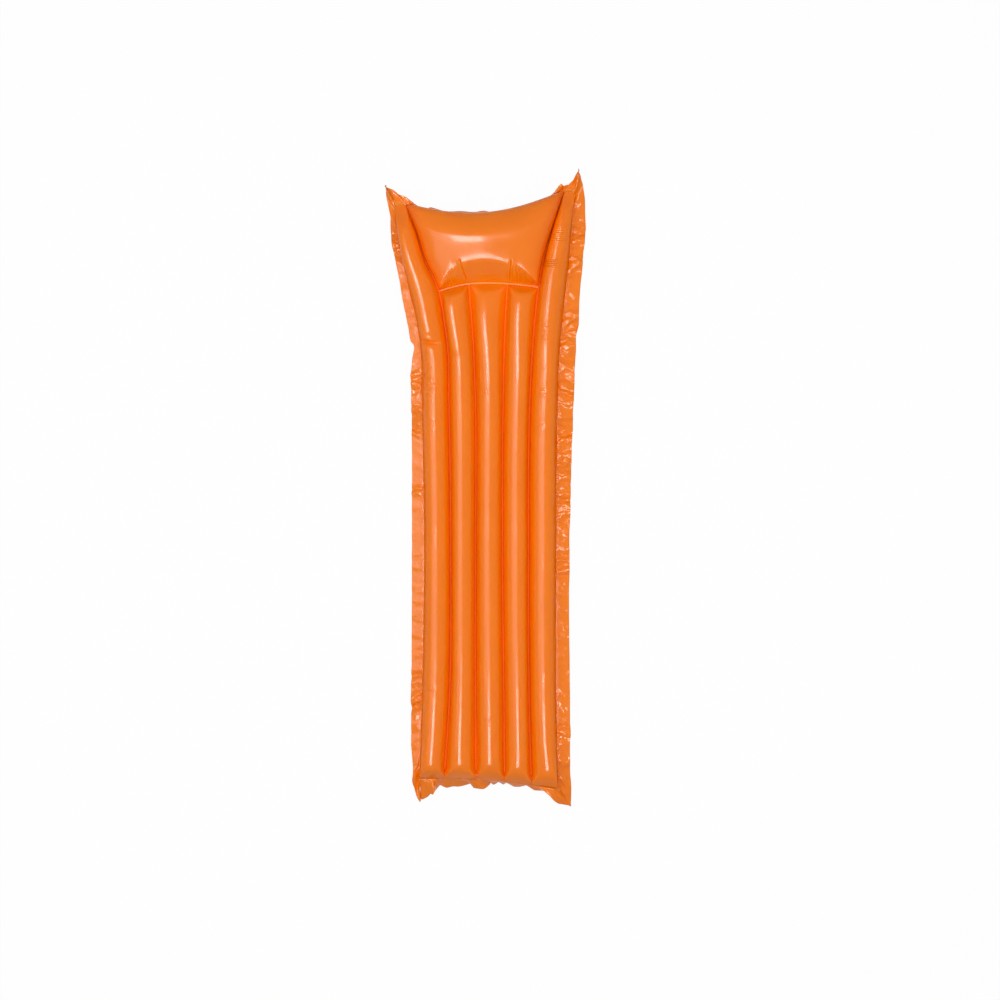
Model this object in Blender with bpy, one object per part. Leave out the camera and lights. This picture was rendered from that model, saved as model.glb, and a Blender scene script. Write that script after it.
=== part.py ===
"""Pool air mattress with five lengthwise air tubes, a raised pillow, a welded edge and two valves.

X runs across, Y from the foot to the head, and Z up. While the pieces are made, X is 0 on the body's
axis and Y is 0 at the foot ends of the tubes. At the end everything is moved to stand on the floor,
with its bounding box centred on the origin. All sizes are in metres.
"""

import math

import bmesh
import bpy
import numpy as np
from mathutils import Matrix, Vector

# Tubes
TUBE_PITCH = 0.0745  # weld line to weld line across the waist
TUBE_HEIGHT = 0.0765  # inflated height of every tube on the floor
TUBE_LENGTH = 1.4025  # foot end of the tubes to the pillow's foot weld
FOOT_PLACE = 0.0026  # Y of the line of the foot ends, before its slant and bow
FOOT_SLANT = 0.0778  # the foot ends run slightly back towards the right
FOOT_BOW = 0.0095  # bow of their line towards the head
FOOT_ROUNDING = 0.045  # length over which a tube's foot end closes to its weld
HEAD_ROUNDING = 0.042  # the same at the pillow
FLOOR_CUT = 0.0005  # depth to which the film lies flat on the floor
KINK_PLACE = TUBE_LENGTH - 0.153  # crease in the left outer tube, from the foot
KINK_LENGTH = 0.012
KINK_DEPTH = 0.16  # share of the tube's height lost in the crease

# How far each weld line leaves its straight place, at these shares of the tubes' length
BODY_STATIONS = (0.0, 0.17, 0.47, 0.775, 0.875, 0.937, 1.0)
BODY_SPREAD = (
    (-0.0140, -0.0060, 0.0010, -0.0060, -0.0090, -0.0220, -0.0430),
    (-0.0190, -0.0030, 0.0010, -0.0040, -0.0070, -0.0180, -0.0360),
    (-0.0020, -0.0040, -0.0040, -0.0040, -0.0090, -0.0150, -0.0220),
    (0.0040, 0.0020, -0.0020, 0.0000, 0.0030, 0.0060, 0.0115),
    (0.0050, -0.0010, -0.0030, 0.0010, 0.0080, 0.0150, 0.0250),
    (0.0060, 0.0000, 0.0000, 0.0040, 0.0090, 0.0180, 0.0270),
)
TUBE_COUNT = len(BODY_SPREAD) - 1

# Pillow
PILLOW_HEIGHT = 0.140
PILLOW_SIDE_LEFT = 0.233  # length of its left side along Y
PILLOW_SIDE_RIGHT = 0.270
PILLOW_ARCH = 0.012  # bow of its foot weld towards the head
PILLOW_SAG = 0.055  # bow of its head weld towards the foot
PILLOW_OVERHANG = 0.020  # its upper film bulges this far past its head weld
PILLOW_FOOT_DROP = 0.012  # the left end of its foot weld lies this far towards the foot
PILLOW_DROP_START = 0.3  # share of the half width where that drop starts
PILLOW_CROWN_TOP = 3.4  # power of the upper crown from side to side, more is squarer
PILLOW_CROWN_HEAD = 2.2  # and of its round end
PILLOW_CROWN_SHIFT = 0.25  # share by which the flat top lies to the right
PILLOW_APEX = 0.40  # where it is highest, from -1 at its foot to 1 at its head
PILLOW_APEX_RADIUS = 0.086
PILLOW_FALL = 0.29  # slope from there towards the foot
PILLOW_FACE_SLOPE = 0.95  # rise of its flat face from the foot weld to the ridge
PILLOW_FACE_ROUND = 0.75  # power by which the ridge comes closer to the foot at its sides
PILLOW_FACE_LEAST = 0.15  # least share of its distance from the foot there
RIDGE_SHARPNESS = 10  # of the ridge between that face and the crown
PILLOW_CROWN_UNDER = 3.2  # powers of the underside, across
PILLOW_CROWN_ALONG = 2.8  # and along
LIFT_START = 0.50  # share of the tubes' length where they start to rise to the pillow
HEAD_STATIONS = (1 / 3, 2 / 3, 1.0)  # shares of a pillow side
HEAD_SPREAD = {
    0: (-0.0588, -0.0688, -0.0798),
    1: (-0.0723, -0.0973, -0.1283),
    4: (0.0418, 0.0703, 0.0993),
    5: (0.0373, 0.0418, 0.0538),
}

# Welds and the edge of flat film round the outside
WELD_WIDTH = 0.004
WELD_THICKNESS = 0.0008
EDGE_WIDTH_LEFT = 0.032
EDGE_WIDTH_RIGHT = 0.035
EDGE_WIDTH_FOOT = 0.036
EDGE_WIDTH_HEAD = 0.034
EDGE_THICKNESS = 0.0010
EDGE_WAVE_HEIGHT = 0.0025
EDGE_WAVE_LENGTH = 0.165
EDGE_CORNER_LENGTH = 0.060  # length over which a side edge turns into its corner
END_CORNER_SHARE = 0.16  # the same for an end edge, as a share of its line
FOOT_EDGE_DROOP = math.radians(62)
HEAD_EDGE_DROOP = math.radians(62)
FOOT_CORNER_LEFT = (0.0070, -0.0565)  # corner of the weld to the corner of the film
FOOT_CORNER_RIGHT = (0.0320, -0.0436)
HEAD_CORNER_LEFT = (-0.033, 0.054)
HEAD_CORNER_RIGHT = (0.017, 0.059)

# Valves
BODY_VALVE_PLACE = (-0.004, TUBE_LENGTH - 0.0685)
BODY_VALVE_TILT = math.radians(6)  # its axis leans this far from straight down, to the head
PILLOW_VALVE_PLACE = (0.070, TUBE_LENGTH + 0.1525)
PILLOW_VALVE_TILT = math.radians(20)
VALVE_RECESS = 0.0045  # depth of the pushed-in valve below the film
BASE_RADIUS = 0.016
BASE_THICKNESS = 0.0012
STEM_BORE_RADIUS = 0.0040
STEM_WALL = 0.0015
STEM_LENGTH = 0.0140
RIM_WIDTH = 0.0013  # how far the rim stands out from the stem
RIM_THICKNESS = 0.0012
COLLAR_WIDTH = 0.0009  # how far the stop collar stands out from the stem
COLLAR_THICKNESS = 0.0010
FLAP_OVERLAP = 0.0011  # how far the flap covers the stem's end round its bore
FLAP_THICKNESS = 0.0006
FLAP_OPENING = math.radians(60)
PLUG_DEPTH = 0.0060
CAP_OVERLAP = 0.0025  # how far the plug's cap covers the rim round the bore
CAP_THICKNESS = 0.0016
TAB_LENGTH = 0.0035
TETHER_WIDTH = 0.0030
TETHER_THICKNESS = 0.0008
TETHER_REACH = 0.0060  # how far its loop stands out from the rim
TETHER_BEND_STEPS = 6
GAP = 0.0003  # clearance between neighbouring pieces
FACET_ROOM = 0.0007  # extra room beside a curved weld, because its neighbours have flat facets

# Radii that follow from these
STEM_RADIUS = STEM_BORE_RADIUS + STEM_WALL
RIM_RADIUS = STEM_RADIUS + RIM_WIDTH
COLLAR_RADIUS = STEM_RADIUS + COLLAR_WIDTH
FLAP_RADIUS = STEM_BORE_RADIUS + FLAP_OVERLAP
CAP_RADIUS = STEM_BORE_RADIUS + CAP_OVERLAP

# Fineness
SECTION_STEPS = 10  # facets across one side of a tube
WAVE_STEPS = 7  # facets along one wave of a side edge
END_EDGE_POINTS = 41
BODY_STEPS = 9
RISE_STEPS = 12
PILLOW_STEPS_ACROSS = 18
PILLOW_STEPS_ALONG = 12
ROUND_STEPS = 28

# Finishes: base colour, roughness
ORANGE_FILM = ("orange_film", (0.86, 0.19, 0.017), 0.32)
ORANGE_EDGE = ("orange_edge", (0.80, 0.17, 0.013), 0.22)
CLEAR_VINYL = ("clear_vinyl", (0.80, 0.82, 0.80), 0.30)


def smooth_step(share):
    """0 to 1 with level ends."""
    share = min(max(share, 0.0), 1.0)
    return share * share * (3 - 2 * share)


def smooth_curve(stations, values, where):
    """Value at `where` of the smooth curve through the points (stations, values)."""
    slopes = np.gradient(values, stations)
    k = int(np.clip(np.searchsorted(stations, where) - 1, 0, len(stations) - 2))
    span = stations[k + 1] - stations[k]
    t = min(max((where - stations[k]) / span, 0.0), 1.0)
    from_start = (1 + 2 * t) * (1 - t) ** 2 * values[k] + t * (1 - t) ** 2 * span * slopes[k]
    from_end = t * t * (3 - 2 * t) * values[k + 1] + t * t * (t - 1) * span * slopes[k + 1]
    return from_start + from_end


def pillow_side(index):
    """Length of the pillow's side that the weld line belongs to."""
    return PILLOW_SIDE_LEFT if index < TUBE_COUNT / 2 else PILLOW_SIDE_RIGHT


def seam_x(index, y):
    """X of weld line number `index`, counted from the left, at a distance y from the foot."""
    stations = [share * TUBE_LENGTH for share in BODY_STATIONS]
    spread = list(BODY_SPREAD[index])
    if index in HEAD_SPREAD:
        stations += [TUBE_LENGTH + share * pillow_side(index) for share in HEAD_STATIONS]
        spread += HEAD_SPREAD[index]
    return (index - TUBE_COUNT / 2) * TUBE_PITCH + float(smooth_curve(stations, spread, y))


def beside_seam(index, y, distance):
    """X at this distance to the right of a weld line, measured square to the line."""
    step = WELD_WIDTH
    slope = (seam_x(index, y + step) - seam_x(index, y - step)) / (2 * step)
    return seam_x(index, y) + distance * math.hypot(1, slope)


def lift(y):
    """0 on the flat body, 1 at the pillow."""
    return smooth_step((y / TUBE_LENGTH - LIFT_START) / (1 - LIFT_START))


def middle_z(y):
    """Height of the plane in which the two films are welded together."""
    return TUBE_HEIGHT / 2 - FLOOR_CUT + lift(y) * (PILLOW_HEIGHT - TUBE_HEIGHT) / 2


def on_plane(x, y):
    """Point of the weld plane."""
    return Vector((x, y, middle_z(y)))


def foot_y(x):
    """Line on which the tubes end at the foot."""
    across = x / (TUBE_COUNT / 2 * TUBE_PITCH)
    return FOOT_PLACE - FOOT_SLANT * x + FOOT_BOW * (1 - across * across)


def pillow_foot_y(x):
    """Arched weld between the inner tubes and the pillow."""
    left, right = seam_x(1, TUBE_LENGTH), seam_x(TUBE_COUNT - 1, TUBE_LENGTH)
    across = (2 * x - left - right) / (right - left)
    drop = PILLOW_FOOT_DROP * max((-across - PILLOW_DROP_START) / (1 - PILLOW_DROP_START), 0.0) ** 1.5
    return TUBE_LENGTH + PILLOW_ARCH * (1 - across * across) - drop


def arc_of(chord, rise):
    """Radius and half angle of the arc with this chord and rise."""
    return (chord * chord / 4 + rise * rise) / (2 * rise), 2 * math.atan(2 * rise / chord)


def film_width():
    """Flat width of the film over one tube, from weld to weld."""
    radius, half_angle = arc_of(TUBE_PITCH - WELD_WIDTH, TUBE_HEIGHT / 2)
    return 2 * radius * half_angle


def film_rise(chord):
    """How high a tube's film stands over this chord, because its width is fixed."""
    low, high = 0.0, chord
    for _ in range(40):
        rise = (low + high) / 2
        radius, half_angle = arc_of(chord, rise)
        if 2 * radius * half_angle < film_width():
            low = rise
        else:
            high = rise
    return rise


def end_rounding(distance, length):
    """Share of the full height left at this distance from an end weld."""
    if distance >= length:
        return 1.0
    return math.sqrt(max(1 - (1 - distance / length) ** 2, 0.0))


def material_of(finish):
    """The material with this finish, made once."""
    name, colour, roughness = finish
    if name in bpy.data.materials:
        return bpy.data.materials[name]
    material = bpy.data.materials.new(name)
    material.use_nodes = True
    shader = material.node_tree.nodes["Principled BSDF"]
    shader.inputs["Base Color"].default_value = (*colour, 1.0)
    shader.inputs["Roughness"].default_value = roughness
    return material


def add_object(name, bm, finish):
    """Turn a bmesh into a named object with its faces pointing out."""
    bmesh.ops.recalc_face_normals(bm, faces=bm.faces)
    mesh = bpy.data.meshes.new(name)
    bm.to_mesh(mesh)
    bm.free()
    mesh.shade_smooth()
    mesh.set_sharp_from_angle(angle=math.radians(40))
    mesh.materials.append(material_of(finish))
    obj = bpy.data.objects.new(name, mesh)
    bpy.context.collection.objects.link(obj)
    return obj


def loft(name, rings, finish):
    """Closed solid through rings of points, with a flat cap at each end."""
    bm = bmesh.new()
    loops = [[bm.verts.new(point) for point in ring] for ring in rings]
    for one, two in zip(loops, loops[1:]):
        for k in range(len(one)):
            j = (k + 1) % len(one)
            bm.faces.new((one[k], one[j], two[j], two[k]))
    bm.faces.new(reversed(loops[0]))
    bm.faces.new(loops[-1])
    return add_object(name, bm, finish)


def ribbon(name, rail_a, rail_b, thickness, finish):
    """Thin strip between two rails of points."""
    rings = []
    for k in range(len(rail_a)):
        along = rail_a[min(k + 1, len(rail_a) - 1)] - rail_a[max(k - 1, 0)]
        normal = along.cross(rail_b[k] - rail_a[k]).normalized() * thickness / 2
        rings.append([rail_a[k] + normal, rail_b[k] + normal, rail_b[k] - normal, rail_a[k] - normal])
    return loft(name, rings, finish)


def tube_section(left, right, height, along):
    """Ring of points round a tube: two arcs that meet at the welds, cut flat at the floor.

    left and right are the weld points, height is half the tube's height, and along gives Y from X.
    """
    chord = right.x - left.x
    centre_x = (left.x + right.x) / 2
    radius, half_angle = arc_of(chord, height)
    flat_angle = min(math.acos(1 - FLOOR_CUT / radius), half_angle / SECTION_STEPS)
    ring = []
    for side in (1, -1):
        for step in range(SECTION_STEPS):
            angle = side * half_angle * (2 * step / SECTION_STEPS - 1)
            angles = [angle]
            if side < 0 and step == SECTION_STEPS // 2:
                angles = [flat_angle, -flat_angle]
            for bend in angles:
                share = (radius * math.sin(bend) / chord) + 0.5
                middle = left.z + (right.z - left.z) * share
                z = middle + side * (radius * math.cos(bend) - radius + height)
                x = centre_x + radius * math.sin(bend)
                ring.append(Vector((x, along(x), max(z, 0.0))))
    return ring


def tube_stations(length, kink):
    """Distances from the foot end at which a tube gets a ring."""
    foot = [FOOT_ROUNDING * (1 - math.cos(math.radians(a))) for a in (0, 12, 26, 42, 60, 90)]
    head = [length - HEAD_ROUNDING * (1 - math.cos(math.radians(a))) for a in (90, 60, 42, 26, 12, 0)]
    flat_end = LIFT_START * TUBE_LENGTH
    body = list(np.linspace(FOOT_ROUNDING, flat_end, BODY_STEPS + 1)[1:])
    steps = RISE_STEPS if length < 1.1 * TUBE_LENGTH else 2 * RISE_STEPS
    rising = list(np.linspace(flat_end, head[0], steps + 1)[1:-1])
    if kink:
        spots = [KINK_PLACE + k * KINK_LENGTH for k in (-1.6, -0.8, 0, 0.8, 1.6)]
        rising = [y for y in rising if abs(y - KINK_PLACE) > 2.2 * KINK_LENGTH] + spots
    return foot + body + sorted(rising) + head


def tube(name, index, finish):
    """Air tube between weld lines `index` and `index + 1`."""
    outer = index in (0, TUBE_COUNT - 1)
    length = TUBE_LENGTH + (pillow_side(index) if outer else 0.0)
    end_y = (lambda x: length) if outer else pillow_foot_y
    wall = WELD_WIDTH / 2
    left_wall = GAP if index == 0 else wall
    right_wall = GAP if index == TUBE_COUNT - 1 else wall
    rings = []
    for distance in tube_stations(length, kink=index == 0):
        share = distance / length

        def along(x, share=share):
            return foot_y(x) + GAP + (end_y(x) - wall - foot_y(x) - GAP) * share

        tips = []
        for seam, inset in ((index, left_wall), (index + 1, -right_wall)):
            x = beside_seam(seam, along(seam_x(seam, distance)), inset)
            tips.append(Vector((x, along(x), middle_z(along(x)))))
        left, right = tips
        y = (left.y + right.y) / 2
        height = TUBE_HEIGHT / 2 + lift(y) * (film_rise(right.x - left.x) - TUBE_HEIGHT / 2)
        height *= end_rounding(distance, FOOT_ROUNDING) * end_rounding(length - distance, HEAD_ROUNDING)
        if index == 0:
            height *= 1 - KINK_DEPTH * math.exp(-(((y - KINK_PLACE) / KINK_LENGTH) ** 2))
        rings.append(tube_section(left, right, max(height, WELD_THICKNESS / 2), along))
    return loft(name, rings, finish)


def pillow_point(across, along):
    """Point of the weld plane inside the pillow; across and along go from -1 to 1."""
    t, s = (along + 1) / 2, (across + 1) / 2
    wall = WELD_WIDTH / 2
    ends = []
    for index, side in ((1, 1), (TUBE_COUNT - 1, -1)):
        start = beside_seam(index, TUBE_LENGTH, side * wall)
        y = (pillow_foot_y(start) + wall) * (1 - t) + (TUBE_LENGTH + pillow_side(index)) * t
        ends.append((start, beside_seam(index, y, side * wall), TUBE_LENGTH + pillow_side(index)))
    left, right = ends
    foot_x, x, head_y = (one + s * (two - one) for one, two in zip(left, right))
    foot = pillow_foot_y(foot_x) + wall + GAP
    y = foot * (1 - t) + (head_y - PILLOW_SAG * (1 - across * across)) * t
    return on_plane(x, y)


def lower_of(one, two):
    """The lower of two heights, rounded off where they meet."""
    return (one ** -RIDGE_SHARPNESS + two ** -RIDGE_SHARPNESS) ** (-1 / RIDGE_SHARPNESS)


def pillow_under(across, along):
    """Share of the pillow's full depth under the weld plane at this place."""
    side = 1 - abs(across) ** PILLOW_CROWN_UNDER
    end = 1 - abs(along) ** PILLOW_CROWN_ALONG
    return math.sqrt(max(side, 0.0) * max(end, 0.0))


def pillow_top(across, along, from_foot):
    """Rise of the pillow's upper film: a flat face, a ridge, and a crown that is round at the head."""
    half_length = ((PILLOW_SIDE_LEFT + PILLOW_SIDE_RIGHT) / 2 - PILLOW_ARCH - PILLOW_SAG) / 2
    shifted = across - PILLOW_CROWN_SHIFT * (1 - across ** 2)
    side = max(1 - abs(shifted) ** PILLOW_CROWN_TOP, 0.0) ** (1 / PILLOW_CROWN_TOP)
    to_foot = max(PILLOW_APEX - along, 0.0) * half_length
    to_head = max(along - PILLOW_APEX, 0.0) / (1 - PILLOW_APEX)
    bend = PILLOW_APEX_RADIUS * PILLOW_FALL
    drop = PILLOW_FALL * (math.hypot(to_foot, bend) - bend)
    crown = side * (PILLOW_HEIGHT / 2 - drop) * math.sqrt(max(1 - to_head ** PILLOW_CROWN_HEAD, 0.0))
    ridge = max((1 - across ** 2) ** PILLOW_FACE_ROUND, PILLOW_FACE_LEAST)
    face = PILLOW_FACE_SLOPE * from_foot * side / ridge
    return lower_of(crown, face) if crown > 0 and face > 0 else 0.0


def pillow_skin(across, along, side):
    """Point on the pillow's upper film (side 1) or lower film (side -1)."""
    point = pillow_point(across, along)
    share = pillow_under(across, along)
    if side < 0:
        point.z = max(point.z - share * PILLOW_HEIGHT / 2, 0.0)
        return point
    point.z += pillow_top(across, along, point.y - pillow_point(across, -1).y)
    point.y += PILLOW_OVERHANG * 4 * share * (1 - share) * smooth_step(2 * along - 1)
    return point


def spaced(steps):
    """Places from -1 to 1, closer together near the ends."""
    return [math.sin(math.pi / 2 * (2 * k / steps - 1)) for k in range(steps + 1)]


def pillow():
    """Raised pillow: an upper and a lower film that meet at its welds."""
    bm = bmesh.new()
    rows = spaced(PILLOW_STEPS_ALONG)
    columns = spaced(PILLOW_STEPS_ACROSS)
    sheets = {}
    for side in (1, -1):
        for j, along in enumerate(rows):
            for i, across in enumerate(columns):
                edge = i in (0, PILLOW_STEPS_ACROSS) or j in (0, PILLOW_STEPS_ALONG)
                if edge and side < 0:
                    sheets[side, i, j] = sheets[1, i, j]
                    continue
                sheets[side, i, j] = bm.verts.new(pillow_skin(across, along, side))
        for j in range(PILLOW_STEPS_ALONG):
            for i in range(PILLOW_STEPS_ACROSS):
                corners = ((i, j), (i + 1, j), (i + 1, j + 1), (i, j + 1))
                bm.faces.new([sheets[side, a, b] for a, b in corners])
    bmesh.ops.triangulate(bm, faces=bm.faces)
    return add_object("pillow", bm, ORANGE_FILM)


def centre_line(points, half_width):
    """Two rails beside a line of points, in plan."""
    rails = [], []
    for k, point in enumerate(points):
        along = points[min(k + 1, len(points) - 1)] - points[max(k - 1, 0)]
        aside = Vector((along.y, -along.x, 0)).normalized() * half_width
        rails[0].append(point - aside)
        rails[1].append(point + aside)
    return rails


def welds():
    """Weld bands in the valleys between the tubes and round the pillow."""
    half = WELD_WIDTH / 2 - GAP - FACET_ROOM
    for index in range(1, TUBE_COUNT):
        start = foot_y(seam_x(index, 0)) + FOOT_ROUNDING / 2
        end = pillow_foot_y(seam_x(index, TUBE_LENGTH)) - WELD_WIDTH / 2 - GAP
        stations = list(np.linspace(start, LIFT_START * TUBE_LENGTH, BODY_STEPS + 1))
        stations += list(np.linspace(LIFT_START * TUBE_LENGTH, end, RISE_STEPS + 1))[1:]
        line = [on_plane(seam_x(index, y), y) for y in stations]
        ribbon(f"tube_weld_{index}", *centre_line(line, half), WELD_THICKNESS, ORANGE_EDGE)
    corner = pillow_foot_y(seam_x(1, TUBE_LENGTH))
    left, right = seam_x(1, corner) - half, seam_x(TUBE_COUNT - 1, TUBE_LENGTH) + half
    line = [on_plane(x, pillow_foot_y(x)) for x in np.linspace(left, right, 17)]
    ribbon("pillow_weld_foot", *centre_line(line, half), WELD_THICKNESS, ORANGE_EDGE)
    for name, index in (("pillow_weld_left", 1), ("pillow_weld_right", TUBE_COUNT - 1)):
        start = pillow_foot_y(seam_x(index, TUBE_LENGTH)) + WELD_WIDTH
        end = TUBE_LENGTH + pillow_side(index) - WELD_WIDTH
        line = [on_plane(seam_x(index, y), y) for y in np.linspace(start, end, 17)]
        ribbon(name, *centre_line(line, half), WELD_THICKNESS, ORANGE_EDGE)


def edge_wave(along):
    """Slow rise and fall of the film's free edge."""
    return EDGE_WAVE_HEIGHT * math.sin(2 * math.pi * along / EDGE_WAVE_LENGTH)


def weld_corner(index, at_head):
    """Corner of the weld line round the air chambers, at one end of an outer weld line."""
    y = TUBE_LENGTH + pillow_side(index) if at_head else foot_y(seam_x(index, 0))
    return on_plane(seam_x(index, y), y)


def side_edge(name, index, outwards, width, foot_corner, head_corner):
    """Flat film along one side, from its foot corner to its head corner."""
    start, end = weld_corner(index, False).y, weld_corner(index, True).y
    steps = int((end - start) / EDGE_WAVE_LENGTH * WAVE_STEPS)
    inner, outer = [], []
    for y in np.linspace(start, end, steps + 1):
        to_foot = 1 - smooth_step((y - start) / EDGE_CORNER_LENGTH)
        to_head = 1 - smooth_step((end - y) / EDGE_CORNER_LENGTH)
        plain = 1 - to_foot - to_head
        reach_x = plain * outwards * width + to_foot * foot_corner[0] + to_head * head_corner[0]
        reach_y = to_foot * foot_corner[1] + to_head * head_corner[1]
        root = on_plane(seam_x(index, y) + outwards * GAP, y)
        inner.append(root)
        outer.append(root + Vector((reach_x, reach_y, plain * edge_wave(y))))
    for rail in (inner, outer):
        rail[0].y += GAP
        rail[-1].y -= GAP
    return ribbon(name, inner, outer, EDGE_THICKNESS, ORANGE_EDGE)


def end_edge(name, line, width, droop, direction, left_corner, right_corner):
    """Flat film across one end, hanging down between its two corners."""
    inner, outer = [], []
    last = len(line) - 1
    for k, root in enumerate(line):
        share = k / last
        to_left = 1 - smooth_step(share / END_CORNER_SHARE)
        to_right = 1 - smooth_step((1 - share) / END_CORNER_SHARE)
        plain = 1 - to_left - to_right
        hang = plain * droop
        reach = Vector((0, direction * width * math.cos(hang), -width * math.sin(hang))) * plain
        reach += Vector((*left_corner, 0)) * to_left + Vector((*right_corner, 0)) * to_right
        inner.append(root)
        outer.append(root + reach)
    for rail in (inner, outer):
        rail[0].x += 2 * GAP
        rail[-1].x -= 2 * GAP
    return ribbon(name, inner, outer, EDGE_THICKNESS, ORANGE_EDGE)


def edges():
    """The flat film round the whole outline."""
    right = TUBE_COUNT
    side_edge("edge_left", 0, -1, EDGE_WIDTH_LEFT, FOOT_CORNER_LEFT, HEAD_CORNER_LEFT)
    side_edge("edge_right", right, 1, EDGE_WIDTH_RIGHT, FOOT_CORNER_RIGHT, HEAD_CORNER_RIGHT)

    foot_left, foot_right = weld_corner(0, False), weld_corner(right, False)
    room = GAP + EDGE_THICKNESS / 2
    columns = np.linspace(foot_left.x, foot_right.x, END_EDGE_POINTS)
    foot_line = [on_plane(x, foot_y(x) - room) for x in columns]
    end_edge("edge_foot", foot_line, EDGE_WIDTH_FOOT, FOOT_EDGE_DROOP, -1,
             FOOT_CORNER_LEFT, FOOT_CORNER_RIGHT)

    head_left, head_right = weld_corner(0, True), weld_corner(right, True)
    pillow_left, pillow_right = pillow_point(-1, 1), pillow_point(1, 1)
    head_line = [head_left.lerp(pillow_left, t) for t in (0, 0.5)]
    head_line += [pillow_point(across, 1) for across in spaced(PILLOW_STEPS_ACROSS)]
    head_line += [pillow_right.lerp(head_right, t) for t in (0.5, 1)]
    for root in head_line:
        root.y += room
    end_edge("edge_head", head_line, EDGE_WIDTH_HEAD, HEAD_EDGE_DROOP, 1,
             HEAD_CORNER_LEFT, HEAD_CORNER_RIGHT)


def turned(name, profile, frame, finish):
    """Solid of revolution about the valve's axis; profile is (radius, height) points in order."""
    bm = bmesh.new()
    ring = [bm.verts.new((radius, 0, height)) for radius, height in profile]
    edges_ = [bm.edges.new((ring[k], ring[(k + 1) % len(ring)])) for k in range(len(ring))]
    if profile[0][0] == 0:
        bm.edges.remove(edges_[-1])
        edges_.pop()
    bmesh.ops.spin(bm, geom=ring + edges_, cent=(0, 0, 0), axis=(0, 0, 1), angle=2 * math.pi,
                   steps=ROUND_STEPS, use_merge=True)
    bmesh.ops.remove_doubles(bm, verts=bm.verts, dist=1e-6)
    bmesh.ops.transform(bm, matrix=frame, verts=bm.verts)
    return add_object(name, bm, finish)


def cylinder_cutter(name, radius, low, high, frame):
    """Plain cylinder about the valve's axis, used only to cut."""
    cutter = turned(name, [(0, low), (radius, low), (radius, high), (0, high)], frame, CLEAR_VINYL)
    cutter.hide_render = True
    cutter.display_type = "WIRE"
    return cutter


def cut(obj, cutter):
    """Take the cutter's space out of the object."""
    boolean = obj.modifiers.new(cutter.name, "BOOLEAN")
    boolean.operation = "DIFFERENCE"
    boolean.object = cutter


def stem_inner_end():
    """Height of the stem's inner end; 0 is the outer face of the valve's base."""
    return GAP + RIM_THICKNESS - STEM_LENGTH


def flap_hinge():
    """The flap's hinge line, on the valve's own axes."""
    return Vector((0, FLAP_RADIUS + GAP, stem_inner_end() - GAP - FLAP_THICKNESS / 2))


def valve_base(prefix, frame):
    """Disc welded to the film, with the hole that the stem slides in."""
    hole = STEM_RADIUS + GAP
    profile = [(hole, 0), (BASE_RADIUS, 0), (BASE_RADIUS, -BASE_THICKNESS), (hole, -BASE_THICKNESS)]
    return turned(f"{prefix}_valve_base", profile, frame, CLEAR_VINYL)


def valve_stem(prefix, frame):
    """Tube with a rim outside the base and a stop collar inside it."""
    inner, outer = stem_inner_end(), GAP + RIM_THICKNESS
    profile = [
        (STEM_BORE_RADIUS, outer), (RIM_RADIUS, outer), (RIM_RADIUS, GAP), (STEM_RADIUS, GAP),
        (STEM_RADIUS, inner + COLLAR_THICKNESS), (COLLAR_RADIUS, inner + COLLAR_THICKNESS),
        (COLLAR_RADIUS, inner), (STEM_BORE_RADIUS, inner),
    ]
    return turned(f"{prefix}_valve_stem", profile, frame, CLEAR_VINYL)


def valve_flap(prefix, frame):
    """Thin disc that covers the stem's inner end and lets air in only."""
    high = stem_inner_end() - GAP
    low = high - FLAP_THICKNESS
    profile = [(0, high), (FLAP_RADIUS, high), (FLAP_RADIUS, low), (0, low)]
    return turned(f"{prefix}_valve_flap", profile, frame, CLEAR_VINYL)


def valve_plug(prefix, frame):
    """Push-in plug with a cap and a pull tab."""
    low = 2 * GAP + RIM_THICKNESS
    shank = STEM_BORE_RADIUS - GAP
    tip_bevel = shank / 4
    profile = [
        (0, low + CAP_THICKNESS), (CAP_RADIUS, low + CAP_THICKNESS), (CAP_RADIUS, low), (shank, low),
        (shank, low - PLUG_DEPTH + tip_bevel), (shank - tip_bevel, low - PLUG_DEPTH),
        (0, low - PLUG_DEPTH),
    ]
    plug = turned(f"{prefix}_valve_plug", profile, Matrix(), CLEAR_VINYL)
    bm = bmesh.new()
    bm.from_mesh(plug.data)
    rim = [f for f in bm.faces if f.normal.y > 0.85 and f.calc_center_median().z > low]
    grown = bmesh.ops.extrude_face_region(bm, geom=rim)["geom"]
    bmesh.ops.delete(bm, geom=rim, context="FACES")
    tip = [v for v in grown if isinstance(v, bmesh.types.BMVert)]
    bmesh.ops.translate(bm, vec=(0, TAB_LENGTH, 0), verts=tip)
    bmesh.ops.transform(bm, matrix=frame, verts=bm.verts)
    bm.to_mesh(plug.data)
    bm.free()
    return plug


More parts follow.
